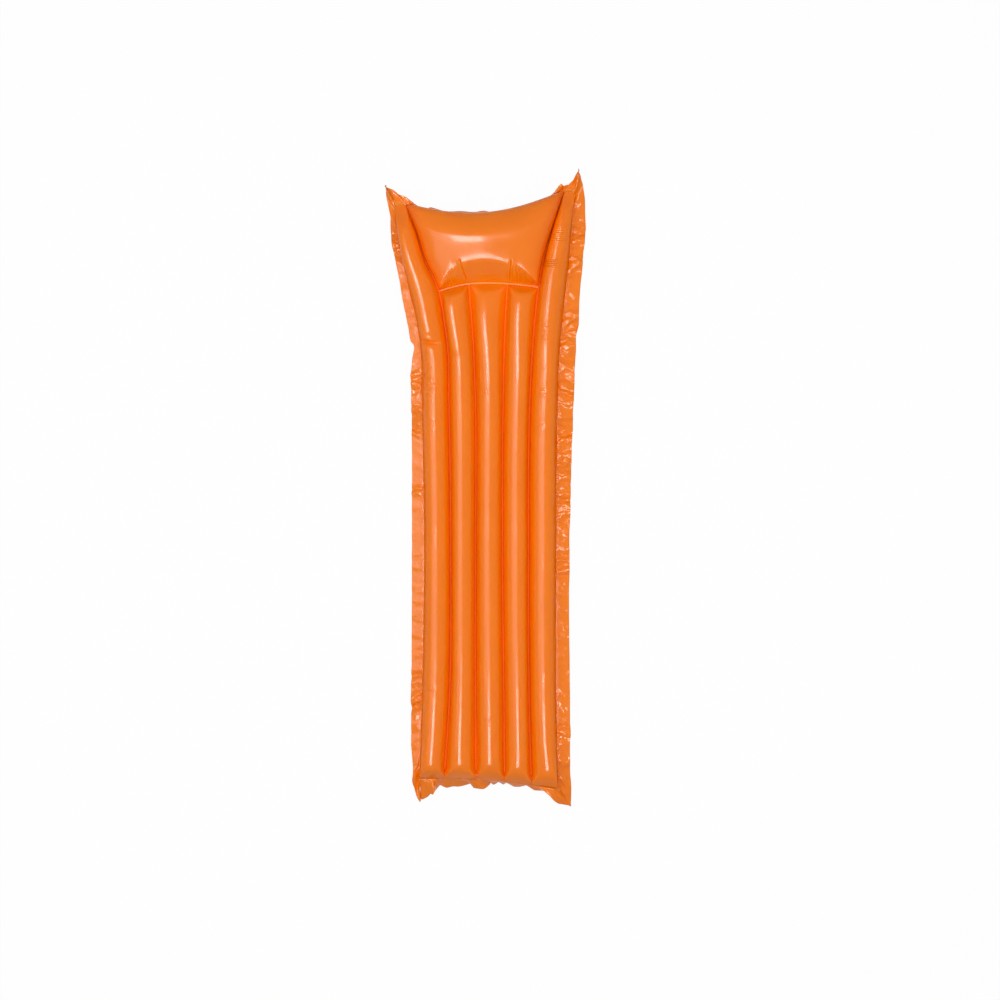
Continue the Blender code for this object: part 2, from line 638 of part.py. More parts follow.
def valve_tether(prefix, frame):
    """Strap that loops from the stem's rim to the plug's cap, so the plug isn't lost."""
    rim_z = GAP + RIM_THICKNESS / 2
    cap_z = 2 * GAP + RIM_THICKNESS + CAP_THICKNESS / 2
    bend = (cap_z - rim_z) / 2
    turn_y = -(RIM_RADIUS + TETHER_REACH)
    path = [(-(RIM_RADIUS + GAP), rim_z)]
    for step in range(TETHER_BEND_STEPS + 1):
        angle = math.pi * step / TETHER_BEND_STEPS
        path.append((turn_y - bend * math.sin(angle), rim_z + bend * (1 - math.cos(angle))))
    path.append((-(CAP_RADIUS + GAP), cap_z))
    rings = []
    for k, (y, z) in enumerate(path):
        before, after = path[max(k - 1, 0)], path[min(k + 1, len(path) - 1)]
        along = Vector((0, after[0] - before[0], after[1] - before[1])).normalized()
        normal = Vector((1, 0, 0)).cross(along) * TETHER_THICKNESS / 2
        aside = Vector((TETHER_WIDTH / 2, 0, 0))
        middle = Vector((0, y, z))
        ring = (normal + aside, normal - aside, -normal - aside, -normal + aside)
        rings.append([frame @ (middle + corner) for corner in ring])
    return loft(f"{prefix}_valve_tether", rings, CLEAR_VINYL)


def valve(prefix, chamber, frame):
    """One push-in valve in a pocket of the chamber; frame has Z outwards along its axis."""
    pocket_top = -BASE_THICKNESS - GAP
    swing = 2 * FLAP_RADIUS * math.sin(FLAP_OPENING)
    bore_depth = STEM_LENGTH + swing + 4 * GAP
    seat = cylinder_cutter(f"{prefix}_seat_cutter", BASE_RADIUS + GAP, pocket_top, BASE_RADIUS, frame)
    bore = cylinder_cutter(f"{prefix}_bore_cutter", COLLAR_RADIUS + 3 * GAP, -bore_depth,
                           pocket_top / 2, frame)
    cut(chamber, seat)
    cut(chamber, bore)
    valve_base(prefix, frame)
    valve_stem(prefix, frame)
    valve_flap(prefix, frame)
    valve_plug(prefix, frame)
    valve_tether(prefix, frame)


def valve_frame(place, tilt, surface_z):
    """Axes of a valve: Z leans out of the film, X runs across the mattress."""
    outwards = Vector((0, math.sin(tilt), -math.cos(tilt)))
    across = Vector((1, 0, 0))
    third = outwards.cross(across)
    frame = Matrix((across, third, outwards)).transposed().to_4x4()
    frame.translation = Vector((*place, surface_z)) - outwards * VALVE_RECESS
    return frame


def body_valve_frame():
    """The body valve sits under the middle tube, where it rises to the pillow."""
    x, y = BODY_VALVE_PLACE
    chord = seam_x(3, y) - seam_x(2, y) - WELD_WIDTH
    height = TUBE_HEIGHT / 2 + lift(y) * (film_rise(chord) - TUBE_HEIGHT / 2)
    return valve_frame((x, y), BODY_VALVE_TILT, middle_z(y) - height)


def pillow_valve_frame():
    """The pillow valve sits under the pillow, towards the head."""
    x, y = PILLOW_VALVE_PLACE
    nearest = min(
        (pillow_skin(a / 50, b / 50, -1) for a in range(-50, 51) for b in range(-50, 51)),
        key=lambda point: (point.x - x) ** 2 + (point.y - y) ** 2)
    return valve_frame((x, y), PILLOW_VALVE_TILT, nearest.z)


def stand_on_origin():
    """Move everything so that the bounding box stands centred on the origin; returns the move."""
    bpy.context.view_layer.update()
    solids = [o for o in bpy.context.scene.objects if not o.hide_render]
    corners = [o.matrix_world @ Vector(corner) for o in solids for corner in o.bound_box]
    low = Vector([min(c[k] for c in corners) for k in range(3)])
    high = Vector([max(c[k] for c in corners) for k in range(3)])
    move = Vector((-(low.x + high.x) / 2, -(low.y + high.y) / 2, -low.z))
    for obj in bpy.context.scene.objects:
        obj.data.transform(Matrix.Translation(move))
    return move


def print_places(move):
    """Print the valves' axes and hinge lines as they lie in the finished part."""
    for name, frame in (("body", body_valve_frame()), ("pillow", pillow_valve_frame())):
        outwards = frame.col[2].to_3d()
        hinge = frame @ flap_hinge() + move
        print(name, "valve axis", [round(v, 6) for v in outwards],
              "centre", [round(v, 6) for v in frame.translation + move],
              "flap hinge", [round(v, 6) for v in hinge])
    travel = STEM_LENGTH - RIM_THICKNESS - COLLAR_THICKNESS - BASE_THICKNESS - 2 * GAP
    print("stem travel", round(travel, 6), "plug travel", round(PLUG_DEPTH + 6 * GAP, 6))


def main():
    """Build the whole mattress."""
    for obj in list(bpy.data.objects):
        bpy.data.objects.remove(obj, do_unlink=True)
    tube("tube_outer_left", 0, ORANGE_FILM)
    tube("tube_inner_left", 1, ORANGE_FILM)
    centre = tube("tube_centre", 2, ORANGE_FILM)
    tube("tube_inner_right", 3, ORANGE_FILM)
    tube("tube_outer_right", 4, ORANGE_FILM)
    cushion = pillow()
    welds()
    edges()
    valve("body", centre, body_valve_frame())
    valve("pillow", cushion, pillow_valve_frame())
    print_places(stand_on_origin())


main()
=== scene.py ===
"""Looks of the pool air mattress: inflated film, welds, the crumpled edge and two clear valves.

The pieces are shaped on the mattress's own axes, with X = 0 on the body's axis and Y = 0 where the
tubes begin at the foot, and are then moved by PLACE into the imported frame. All sizes are in metres.
"""

import math

import bmesh
import bpy
import numpy as np
from mathutils import Matrix, Vector


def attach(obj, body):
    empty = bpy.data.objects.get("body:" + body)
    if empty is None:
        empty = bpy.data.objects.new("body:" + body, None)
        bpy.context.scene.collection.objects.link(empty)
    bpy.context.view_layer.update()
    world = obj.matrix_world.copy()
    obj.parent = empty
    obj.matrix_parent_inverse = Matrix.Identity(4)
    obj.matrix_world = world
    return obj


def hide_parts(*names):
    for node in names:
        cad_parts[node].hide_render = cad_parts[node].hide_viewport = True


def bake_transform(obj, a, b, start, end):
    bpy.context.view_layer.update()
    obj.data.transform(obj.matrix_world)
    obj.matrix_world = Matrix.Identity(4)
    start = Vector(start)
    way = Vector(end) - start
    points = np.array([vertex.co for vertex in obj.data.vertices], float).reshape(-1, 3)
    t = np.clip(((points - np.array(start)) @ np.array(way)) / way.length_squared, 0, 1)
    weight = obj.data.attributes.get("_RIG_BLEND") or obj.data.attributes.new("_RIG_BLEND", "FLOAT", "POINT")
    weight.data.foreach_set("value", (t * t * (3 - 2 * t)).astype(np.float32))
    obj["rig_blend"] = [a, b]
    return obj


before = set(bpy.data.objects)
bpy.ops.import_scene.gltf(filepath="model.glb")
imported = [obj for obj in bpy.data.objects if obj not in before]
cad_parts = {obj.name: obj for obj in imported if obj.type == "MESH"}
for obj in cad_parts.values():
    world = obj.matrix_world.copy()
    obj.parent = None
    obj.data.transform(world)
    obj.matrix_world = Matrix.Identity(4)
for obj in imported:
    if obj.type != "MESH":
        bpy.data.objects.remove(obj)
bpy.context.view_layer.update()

PLACE = Vector((0.01641, -0.83746, 0.0))

# Body
PITCH = 0.0745
TUBE_HEIGHT = 0.0765
TUBE_LENGTH = 1.4025
FILM_WIDTH = 0.118  # flat width of the film over one tube
WELD = 0.004
DOUBLE_FILM = 0.0006  # thickness of two films welded together
FLOOR_CUT = 0.0005  # how much of the tubes' underside the floor flattens
BODY_SHARES = (0.0, 0.17, 0.47, 0.775, 0.875, 0.937, 1.0)
# sideways places of the six weld lines, off an even pitch, at those shares of the length
WELD_SPREAD = (
    (-0.0140, -0.0060, 0.0010, -0.0060, -0.0090, -0.0220, -0.0430),
    (-0.0190, -0.0030, 0.0010, -0.0040, -0.0070, -0.0180, -0.0360),
    (-0.0020, -0.0040, -0.0040, -0.0040, -0.0090, -0.0150, -0.0220),
    (0.0040, 0.0020, -0.0020, 0.0000, 0.0030, 0.0060, 0.0115),
    (0.0050, -0.0010, -0.0030, 0.0010, 0.0080, 0.0150, 0.0250),
    (0.0060, 0.0000, 0.0000, 0.0040, 0.0090, 0.0180, 0.0270),
)
KINK_PLACE = TUBE_LENGTH - 0.153  # the crease in the left outer tube
FOOT_PLACE, FOOT_SLANT, FOOT_BOW = 0.0026, 0.0778, 0.0095
PASSAGE = 0.022  # the tubes share their air between their foot ends and the tips of the welds
PASSAGE_HEIGHT = 0.011
LIFT_START = 0.50  # share of the tubes' length from which they rise to the pillow

# Pillow
PILLOW_HEIGHT = 0.140
SIDE_LEFT = 0.233
SIDE_RIGHT = 0.270
PILLOW_ARCH = 0.012  # bow of its foot weld
PILLOW_FOOT_DROP = 0.012  # its left end lies this much further down
DROP_START = 0.3
PILLOW_SAG = 0.055  # how far the middle of its head weld is drawn in
PILLOW_OVERHANG = 0.020  # how far its top leans out past that weld
HEAD_SHARES = (1 / 3, 2 / 3, 1.0)
# the same beside the pillow, for the weld lines that run on to the head
HEAD_SPREAD = {
    0: (-0.0588, -0.0688, -0.0798),
    1: (-0.0723, -0.0973, -0.1283),
    4: (0.0418, 0.0703, 0.0993),
    5: (0.0373, 0.0418, 0.0538),
}

# Valves: middle of the base's outer face and the way that it faces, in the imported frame
VALVES = {
    "body": (Vector((0.01241, 0.496069, 0.043522)), Vector((0, 0.104528, -0.994522))),
    "pillow": (Vector((0.08641, 0.716, 0.008601)), Vector((0, 0.34202, -0.939693))),
}
SEAT_RADIUS = 0.0163
SEAT_DEPTH = 0.0015
BORE_RADIUS = 0.0073
BORE_DEPTH = 0.024
FLAT_RADIUS = 0.017  # the film lies flat within this distance of a valve's middle
FLAT_FADE = 0.019
NEAR_SEAT = (-0.012, 0.03)  # heights over the seat between which film is drawn in to it
CUTTER_HEIGHT = 0.02


# ---- shapes ----


def smooth(t):
    """Soft step from 0 to 1 while t goes from 0 to 1."""
    t = np.clip(t, 0.0, 1.0)
    return t * t * (3 - 2 * t)


def curve_through(stations, values, where):
    """Smooth curve through points, read at `where`."""
    stations, values = np.asarray(stations, float), np.asarray(values, float)
    where = np.asarray(where, float)
    slopes = np.gradient(values, stations)
    k = np.clip(np.searchsorted(stations, where) - 1, 0, len(stations) - 2)
    span = stations[k + 1] - stations[k]
    t = np.clip((where - stations[k]) / span, 0.0, 1.0)
    start = (1 + 2 * t) * (1 - t) ** 2 * values[k] + t * (1 - t) ** 2 * span * slopes[k]
    end = t * t * (3 - 2 * t) * values[k + 1] + t * t * (t - 1) * span * slopes[k + 1]
    return start + end


def side_length(index):
    """How far the tubes run on beside the pillow, on a weld line's side."""
    return SIDE_LEFT if index < 2.5 else SIDE_RIGHT


def weld_x(index, y):
    """X of a weld line at a distance from the foot."""
    stations = [share * TUBE_LENGTH for share in BODY_SHARES]
    spread = list(WELD_SPREAD[index])
    if index in HEAD_SPREAD:
        stations += [TUBE_LENGTH + share * side_length(index) for share in HEAD_SHARES]
        spread += HEAD_SPREAD[index]
    return (index - 2.5) * PITCH + curve_through(stations, spread, y)


def lift(y):
    """Share of the way that the weld plane has risen from the body's to the pillow's."""
    return smooth((np.asarray(y) / TUBE_LENGTH - LIFT_START) / (1 - LIFT_START))


def middle_z(y):
    """Height of the plane in which the two films are welded."""
    return TUBE_HEIGHT / 2 - FLOOR_CUT + lift(y) * (PILLOW_HEIGHT - TUBE_HEIGHT) / 2


def foot_y(x):
    """Where the tubes begin."""
    across = x / (2.5 * PITCH)
    return FOOT_PLACE - FOOT_SLANT * x + FOOT_BOW * (1 - across * across)


def pillow_foot_y(x):
    """Where the tubes end and the pillow begins."""
    left, right = weld_x(1, TUBE_LENGTH), weld_x(4, TUBE_LENGTH)
    across = (2 * x - left - right) / (right - left)
    drop = PILLOW_FOOT_DROP * np.clip((-across - DROP_START) / (1 - DROP_START), 0, None) ** 1.5
    return TUBE_LENGTH + PILLOW_ARCH * (1 - across * across) - drop


def arc_length(chord, rise):
    """Length of a circle's arc over a chord."""
    return (chord * chord / 4 + rise * rise) / (2 * rise) * 2 * (2 * np.arctan(2 * rise / chord))


def film_rise(chord):
    """Height of the film over a chord, for the film's fixed width."""
    low, high = np.zeros_like(chord), np.array(chord, float)
    for _ in range(30):
        rise = (low + high) / 2
        short = arc_length(chord, rise) < FILM_WIDTH
        low, high = np.where(short, rise, low), np.where(short, high, rise)
    return (low + high) / 2


def lower_of(a, b, power):
    """The lower of two heights, rounded where they meet."""
    a, b = np.maximum(a, 1e-7), np.maximum(b, 1e-7)
    return (a ** -power + b ** -power) ** (-1 / power)


def bump_at(where, middle, reach, power=2):
    """1 at `middle`, falling off to nothing beyond `reach`."""
    return np.exp(-np.abs((where - middle) / reach) ** power)


def ripple(where, spacing, seed):
    """Smooth irregular wave between -1 and 1 with bumps about `spacing` apart."""
    where = np.asarray(where, float)
    low, high = float(where.min()) - 2 * spacing, float(where.max()) + 2 * spacing
    count = int((high - low) / spacing) + 3
    rng = np.random.default_rng(seed)
    places = low + (np.arange(count) + rng.uniform(-0.25, 0.25, count)) * spacing
    values = rng.uniform(-1, 1, count)
    k = np.clip(np.searchsorted(places, where) - 1, 0, count - 2)
    t = smooth((where - places[k]) / (places[k + 1] - places[k]))
    return values[k] * (1 - t) + values[k + 1] * t


def along_line(points, count):
    """Evenly spaced places on a line through points."""
    points = np.asarray(points, float)
    steps = np.concatenate([[0], np.cumsum(np.linalg.norm(np.diff(points, axis=0), axis=1))])
    where = np.linspace(0, steps[-1], count)
    return np.stack([np.interp(where, steps, points[:, k]) for k in range(points.shape[1])], axis=1)


def new_object(name, data):
    """Object in the scene."""
    obj = bpy.data.objects.new(name, data)
    bpy.context.scene.collection.objects.link(obj)
    return obj


def new_mesh(name, bm):
    """Mesh made of a bmesh, which ends here."""
    mesh = bpy.data.meshes.new(name)
    bm.to_mesh(mesh)
    bm.free()
    return mesh


def film_grid(rows, columns):
    """Flat grid of film, and the shares of its vertices along the columns and rows."""
    bm = bmesh.new()
    bmesh.ops.create_grid(bm, x_segments=columns, y_segments=rows, size=0.5)
    mesh = new_mesh("film", bm)
    shares = np.empty(len(mesh.vertices) * 3)
    mesh.vertices.foreach_get("co", shares)
    shares = np.clip(shares.reshape(rows + 1, columns + 1, 3) + 0.5, 0, 1)
    return mesh, shares[:, :, 0], shares[:, :, 1]


def upper_and_lower(column, per_film):
    """For a grid that wraps round a chamber: which vertices are on top, and their share of its width."""
    column = np.rint(column * 2 * per_film)
    upper = column <= per_film
    return upper, np.where(upper, column, 2 * per_film - column) / per_film


def lay_film(mesh, points, **marks):
    """Put the grid's vertices in place; each mark is a set of values per vertex."""
    mesh.vertices.foreach_set("co", points.ravel())
    for name, values in marks.items():
        if isinstance(values, (list, tuple)):
            values = np.stack(list(values) + [np.zeros_like(values[0])] * (4 - len(values)), axis=2)
            mesh.attributes.new(name, "FLOAT_COLOR", "POINT").data.foreach_set("color", values.ravel())
        else:
            mesh.attributes.new(name, "FLOAT", "POINT").data.foreach_set("value", values.ravel())


def drawn_in(points, valve):
    """Film drawn in to a flat seat round a valve."""
    centre, outwards = VALVES[valve]
    away = points - np.array(centre - PLACE)
    out = np.array(outwards)
    height = away @ out
    radius = np.linalg.norm(away - height[:, :, None] * out, axis=2)
    share = 1 - smooth((radius - FLAT_RADIUS) / FLAT_FADE)
    share = np.where((height > NEAR_SEAT[0]) & (height < NEAR_SEAT[1]), share, 0)
    return points - out * (share * height)[:, :, None]


def cut_for_valve(obj, valve):
    """Sink a seat for the valve's base and a bore for its stem into a chamber."""
    centre, outwards = VALVES[valve]
    turn = outwards.to_track_quat("Z", "Y").to_matrix().to_4x4()
    cuts = ((SEAT_RADIUS, -SEAT_DEPTH, CUTTER_HEIGHT), (BORE_RADIUS, -BORE_DEPTH, 0.0))
    for radius, low, high in cuts:
        bm = bmesh.new()
        bmesh.ops.create_cone(bm, segments=64, radius1=radius, radius2=radius, depth=high - low,
                              cap_ends=True, matrix=Matrix.Translation((0, 0, (low + high) / 2)))
        bmesh.ops.transform(bm, matrix=Matrix.Translation(centre) @ turn, verts=bm.verts)
        mesh = new_mesh("cutter", bm)
        cutter = new_object("cutter", mesh)
        cut = obj.modifiers.new("valve", "BOOLEAN")
        cut.operation, cut.solver, cut.object = "DIFFERENCE", "EXACT", cutter
        with bpy.context.temp_override(object=obj, active_object=obj):
            bpy.ops.object.modifier_apply(modifier=cut.name)
        bpy.data.objects.remove(cutter)
        bpy.data.meshes.remove(mesh)
    obj.data.set_sharp_from_angle(angle=math.radians(40))


def film_normals(points):
    """Unit normals of a rows x columns grid of points."""
    n = np.cross(np.gradient(points, axis=1), np.gradient(points, axis=0))
    return n / np.maximum(np.linalg.norm(n, axis=2, keepdims=True), 1e-9)


def finish_piece(name, mesh, material, body="mattress", closed=False, chamber=False):
    """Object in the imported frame, riding on its body in place of its CAD node."""
    bm = bmesh.new()
    bm.from_mesh(mesh)
    bmesh.ops.remove_doubles(bm, verts=bm.verts, dist=1e-6)
    if closed:
        bmesh.ops.holes_fill(bm, edges=bm.edges, sides=0)
    bmesh.ops.recalc_face_normals(bm, faces=bm.faces)
    if chamber and bm.calc_volume(signed=True) < 0:
        bmesh.ops.reverse_faces(bm, faces=bm.faces)
    bmesh.ops.translate(bm, verts=bm.verts, vec=PLACE)
    bm.to_mesh(mesh)
    bm.free()
    mesh.name = name + "_film"
    mesh.shade_smooth()
    mesh.materials.append(material)
    obj = new_object(name + "_film", mesh)
    if body:
        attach(obj, body)
    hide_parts(name)
    return obj


def thicken(piece):
    """Give a sheet the thickness of two welded films."""
    wall = piece.modifiers.new("film", "SOLIDIFY")
    wall.thickness = DOUBLE_FILM
    wall.offset = 0


# ---- finishes ----

ORANGE = (0.905, 0.208, 0.0010)
DEEP_ORANGE = (1.0, 0.150, 0.0010)  # next to a weld, where light that has passed through the film adds up
EDGE_ORANGE = (0.870, 0.200, 0.0010)
WELD_ORANGE = (0.92, 0.18, 0.0010)
CLEAR_TINT = (0.86, 0.88, 0.86)
VINYL_IOR = 1.52
# scale of the noise, its detail and how much it does
TONE = (9.0, 3.0, 0.10)  # lighter and darker areas
HANDLING_MARKS = (55.0, 4.0, 1.0)  # duller and glossier spots
ORANGE_PEEL = (420.0, 1.0, 0.000015)
UNEVEN = (45.0, 1.0, 0.00016)
# gathers of the film: the mark that says where, how the noise is squeezed, its detail and the height
GATHERS_BY_MARK = (
    ("Beside Weld", (60, 210, 0), 1.0, 0.0030),
    ("At End", (260, 70, 0), 1.0, 0.0030),
    ("Crown", (45, 230, 0), 2.0, 0.0024),
)
PLEAT_SPACING, PLEAT_WANDER, PLEAT_HEIGHT = 0.0054, 1.5, 0.0009
EMBOSS_SPACING, EMBOSS_HEIGHT = 0.0013, 0.00010
WELD_BORDER = 0.0065  # width of the flat weld all round the outside
WELD_BORDER_FADE = (0.95, 1.15)  # where it ends, in that width
WELD_BORDER_STEP = 0.0005


def group(name, inputs, outputs):
    """Empty shader node group with named sockets, and its two ends."""
    tree = bpy.data.node_groups.new(name, "ShaderNodeTree")
    for side, sockets in (("INPUT", inputs), ("OUTPUT", outputs)):
        for label, kind in sockets.items():
            tree.interface.new_socket(label, in_out=side, socket_type="NodeSocket" + kind)
    return tree, tree.nodes.new("NodeGroupInput"), tree.nodes.new("NodeGroupOutput")


def preset(node, **values):
    """Set a node's inputs by name, with _ for a space."""
    for name, value in values.items():
        node.inputs[name.replace("_", " ")].default_value = value


def calc(tree, operation, a, b):
    """Math node; a and b are sockets or numbers."""
    node = tree.nodes.new("ShaderNodeMath")
    node.operation = operation
    for k, value in enumerate((a, b)):
        if isinstance(value, (int, float)):
            node.inputs[k].default_value = value
        else:
            tree.links.new(value, node.inputs[k])
    return node.outputs[0]


def added(tree, *heights):
    """Sum of several sockets."""
    total = heights[0]
    for height in heights[1:]:
        total = calc(tree, "ADD", total, height)
    return total


def stretched(tree, vector, scale):
    """The same places with each axis scaled."""
    node = tree.nodes.new("ShaderNodeMapping")
    preset(node, Scale=scale)
    tree.links.new(vector, node.inputs["Vector"])
    return node.outputs[0]


def bands(tree, vector, spacing):
    """Wave of straight bands a fixed distance apart."""
    wave = tree.nodes.new("ShaderNodeTexWave")
    preset(wave, Scale=2 * math.pi / (20 * spacing))
    tree.links.new(vector, wave.inputs["Vector"])
    return wave


def noise(tree, vector, scale, detail, strength=1.0):
    """Noise about its middle, so that it goes both ways from 0."""
    node = tree.nodes.new("ShaderNodeTexNoise")
    preset(node, Scale=scale, Detail=detail)
    tree.links.new(vector, node.inputs["Vector"])
    field = calc(tree, "SUBTRACT", node.outputs["Fac"], 0.5)
    return field if strength == 1.0 else calc(tree, "MULTIPLY", field, strength)


def film_surface_group():
    """Colour, gloss and height of blown vinyl film: unevenness, orange peel and handling marks."""
    tree, start, end = group(
        "film_surface", {"Colour": "Color", "Place": "Vector", "Gloss": "Float"},
        {"Colour": "Color", "Roughness": "Float", "Height": "Float"})
    place = start.outputs["Place"]
    shade = tree.nodes.new("ShaderNodeHueSaturation")
    tree.links.new(start.outputs["Colour"], shade.inputs["Color"])
    tree.links.new(calc(tree, "ADD", noise(tree, place, *TONE), 1.0), shade.inputs["Value"])
    tree.links.new(shade.outputs[0], end.inputs["Colour"])
    marks = calc(tree, "ADD", noise(tree, place, *HANDLING_MARKS), 1.0)
    tree.links.new(calc(tree, "MULTIPLY", start.outputs["Gloss"], marks), end.inputs["Roughness"])
    height = added(tree, noise(tree, place, *ORANGE_PEEL), noise(tree, place, *UNEVEN))
    tree.links.new(height, end.inputs["Height"])
    return tree


def gathers_group():
    """Height of the film's gathers: puckers square to a weld, pleats at an end, and wrinkled crowns."""
    marks = dict.fromkeys(("Beside Weld", "At End", "Crown", "Pleats"), "Float")
    tree, start, end = group("film_gathers", {"Flat Place": "Vector", **marks}, {"Height": "Float"})
    flat = start.outputs["Flat Place"]
    pleats = bands(tree, flat, PLEAT_SPACING)
    pleats.bands_direction = "Y"
    preset(pleats, Distortion=PLEAT_WANDER)
    heights = []
    for mark, squeeze, detail, strength in GATHERS_BY_MARK:
        field = noise(tree, stretched(tree, flat, squeeze), 1.0, detail)
        heights.append(calc(tree, "MULTIPLY", calc(tree, "MULTIPLY", field, start.outputs[mark]), strength))
    field = calc(tree, "MULTIPLY", pleats.outputs["Fac"], start.outputs["Pleats"])
    heights.append(calc(tree, "MULTIPLY", field, PLEAT_HEIGHT))
    tree.links.new(added(tree, *heights), end.inputs["Height"])
    return tree


def emboss_group():
    """Height of the fine crossed lines that the welding tool leaves."""
    tree, start, end = group("weld_emboss", {"Place": "Vector"}, {"Height": "Float"})
    heights = []
    for turn in (math.radians(45), math.radians(-45)):
        turned = tree.nodes.new("ShaderNodeMapping")
        turned.inputs["Rotation"].default_value[2] = turn
        tree.links.new(start.outputs["Place"], turned.inputs["Vector"])
        heights.append(bands(tree, turned.outputs[0], EMBOSS_SPACING).outputs["Fac"])
    lines = calc(tree, "MAXIMUM", *heights)
    tree.links.new(calc(tree, "MULTIPLY", lines, EMBOSS_HEIGHT), end.inputs["Height"])
    return tree


FILM_SURFACE, GATHERS, EMBOSS = film_surface_group(), gathers_group(), emboss_group()


def placed(tree, shared):
    """Node that holds a shared group."""
    node = tree.nodes.new("ShaderNodeGroup")
    node.node_tree = shared
    return node


def film_finish(name, colour, gloss, kind, specular=0.25, clear=0.0):
    """Vinyl film with the shared surface; kind is chamber, edge, weld or plain."""
    material = bpy.data.materials.new(name)
    material.use_nodes = True
    tree = material.node_tree
    link = tree.links.new
    shader = tree.nodes["Principled BSDF"]
    preset(shader, IOR=VINYL_IOR, Specular_IOR_Level=specular, Transmission_Weight=clear)
    place = tree.nodes.new("ShaderNodeTexCoord").outputs["Object"]
    surface = placed(tree, FILM_SURFACE)
    preset(surface, Colour=(*colour, 1), Gloss=gloss)
    link(place, surface.inputs["Place"])
    link(surface.outputs["Colour"], shader.inputs["Base Color"])
    link(surface.outputs["Roughness"], shader.inputs["Roughness"])
    height = surface.outputs["Height"]
    if kind == "chamber":
        preset(shader, Subsurface_Weight=0.5, Subsurface_Scale=0.010, Subsurface_Radius=(1.0, 0.6, 0.3))
    if kind in ("weld", "edge"):
        lines = placed(tree, EMBOSS)
        link(place, lines.inputs["Place"])
        embossed = lines.outputs["Height"]
    if kind in ("chamber", "edge"):
        marks = tree.nodes.new("ShaderNodeAttribute")
        marks.attribute_name = "gathers"
        parts = tree.nodes.new("ShaderNodeSeparateColor")
        link(marks.outputs["Color"], parts.inputs[0])
    if kind == "chamber":
        flat = tree.nodes.new("ShaderNodeAttribute")
        flat.attribute_name = "flat"
        gathers = placed(tree, GATHERS)
        link(flat.outputs["Vector"], gathers.inputs["Flat Place"])
        for socket, part in (("Beside Weld", "Red"), ("At End", "Green"), ("Crown", "Blue")):
            link(parts.outputs[part], gathers.inputs[socket])
        link(marks.outputs["Alpha"], gathers.inputs["Pleats"])
        height = added(tree, height, gathers.outputs["Height"])
        # painted light: beside the welds the base colour turns to DEEP_ORANGE, a brighter red that stands in
        # for light passing through the film
        # a mix node has sockets of the same name for each kind of data: 0 is the factor, 6 and 7 the
        # colours, and 2 the mixed colour
        painted_light_mix = tree.nodes.new("ShaderNodeMix")
        painted_light_mix.data_type = "RGBA"
        painted_light_mix.inputs[7].default_value = (*DEEP_ORANGE, 1)
        link(parts.outputs["Red"], painted_light_mix.inputs[0])
        link(surface.outputs["Colour"], painted_light_mix.inputs[6])
        link(painted_light_mix.outputs[2], shader.inputs["Base Color"])
    if kind == "edge":
        # red holds the distance from the weld, in units of the weld's width
        within = tree.nodes.new("ShaderNodeMapRange")
        within.interpolation_type = "SMOOTHSTEP"
        preset(within, From_Min=WELD_BORDER_FADE[0], From_Max=WELD_BORDER_FADE[1], To_Min=1.0, To_Max=0.0)
        link(parts.outputs["Red"], within.inputs["Value"])
        step = calc(tree, "MULTIPLY", within.outputs[0], -WELD_BORDER_STEP)
        height = added(tree, height, step, calc(tree, "MULTIPLY", embossed, within.outputs[0]))
    if kind == "weld":
        height = added(tree, height, embossed)
    bump = tree.nodes.new("ShaderNodeBump")
    preset(bump, Distance=1.0)
    link(height, bump.inputs["Height"])
    link(bump.outputs[0], shader.inputs["Normal"])
    return material


FILM = film_finish("orange_film", ORANGE, 0.17, "chamber")
EDGE = film_finish("edge_film", EDGE_ORANGE, 0.11, "edge")
PILLOW_WELD = film_finish("pillow_weld_film", ORANGE, 0.25, "weld")
TUBE_WELD = film_finish("weld_film", WELD_ORANGE, 0.50, "weld", specular=0.04)
CLEAR = film_finish("clear_vinyl", CLEAR_TINT, 0.22, "plain", specular=0.5, clear=0.55)


# ---- tubes ----

TUBE_COLUMNS = 50  # for each of the two films, so that they meet vertex to vertex at the ends
ROW_STEP = 0.0021
CROWDING = 0.62  # how much closer the columns stand beside the welds
WELD_TAPER = 0.010  # length over which a weld's tip comes to its full width
FULLEST = 0.95  # a tube is at most this high, in widths between its welds
FOOT_HIPS = (0.028, 0.029, 0.034, 0.034, 0.034)  # how far from its foot end each tube is full
FOOT_ROUND = 0.90
INNER_HEAD, OUTER_HEAD = (0.030, 0.85), (0.055, 1.10)  # the same at the head end, and its roundness
PASSAGE_WIDTH = 0.020
WELD_DRAW = 0.0011  # the film is drawn in above each weld
LEAN = (-0.0023, -0.0037, 0.0, 0.0045, 0.0049)  # sideways lean of each tube's crown
HEAD_LEAN, HEAD_LEAN_FROM, HEAD_LEAN_OVER = -0.0080, 1.16, 0.17  # added to it where the tubes rise
CORNER_LEAN, CORNER_LEAN_REACH = {0: -0.004, 4: 0.015}, 0.075  # and over the foot corners
PUCKER_SPACING, PUCKER_REACH, PUCKER_HEIGHT = 0.0065, 0.007, 0.0006
SWELL_SPACING, SWELL_HEIGHT = 0.06, 0.00040
WRINKLE_SPACING, WRINKLE_HEIGHT, WRINKLE_BELT = 0.0060, 0.00030, (0.40, 0.17)
TUBES = ("tube_outer_left", "tube_inner_left", "tube_centre", "tube_inner_right", "tube_outer_right")
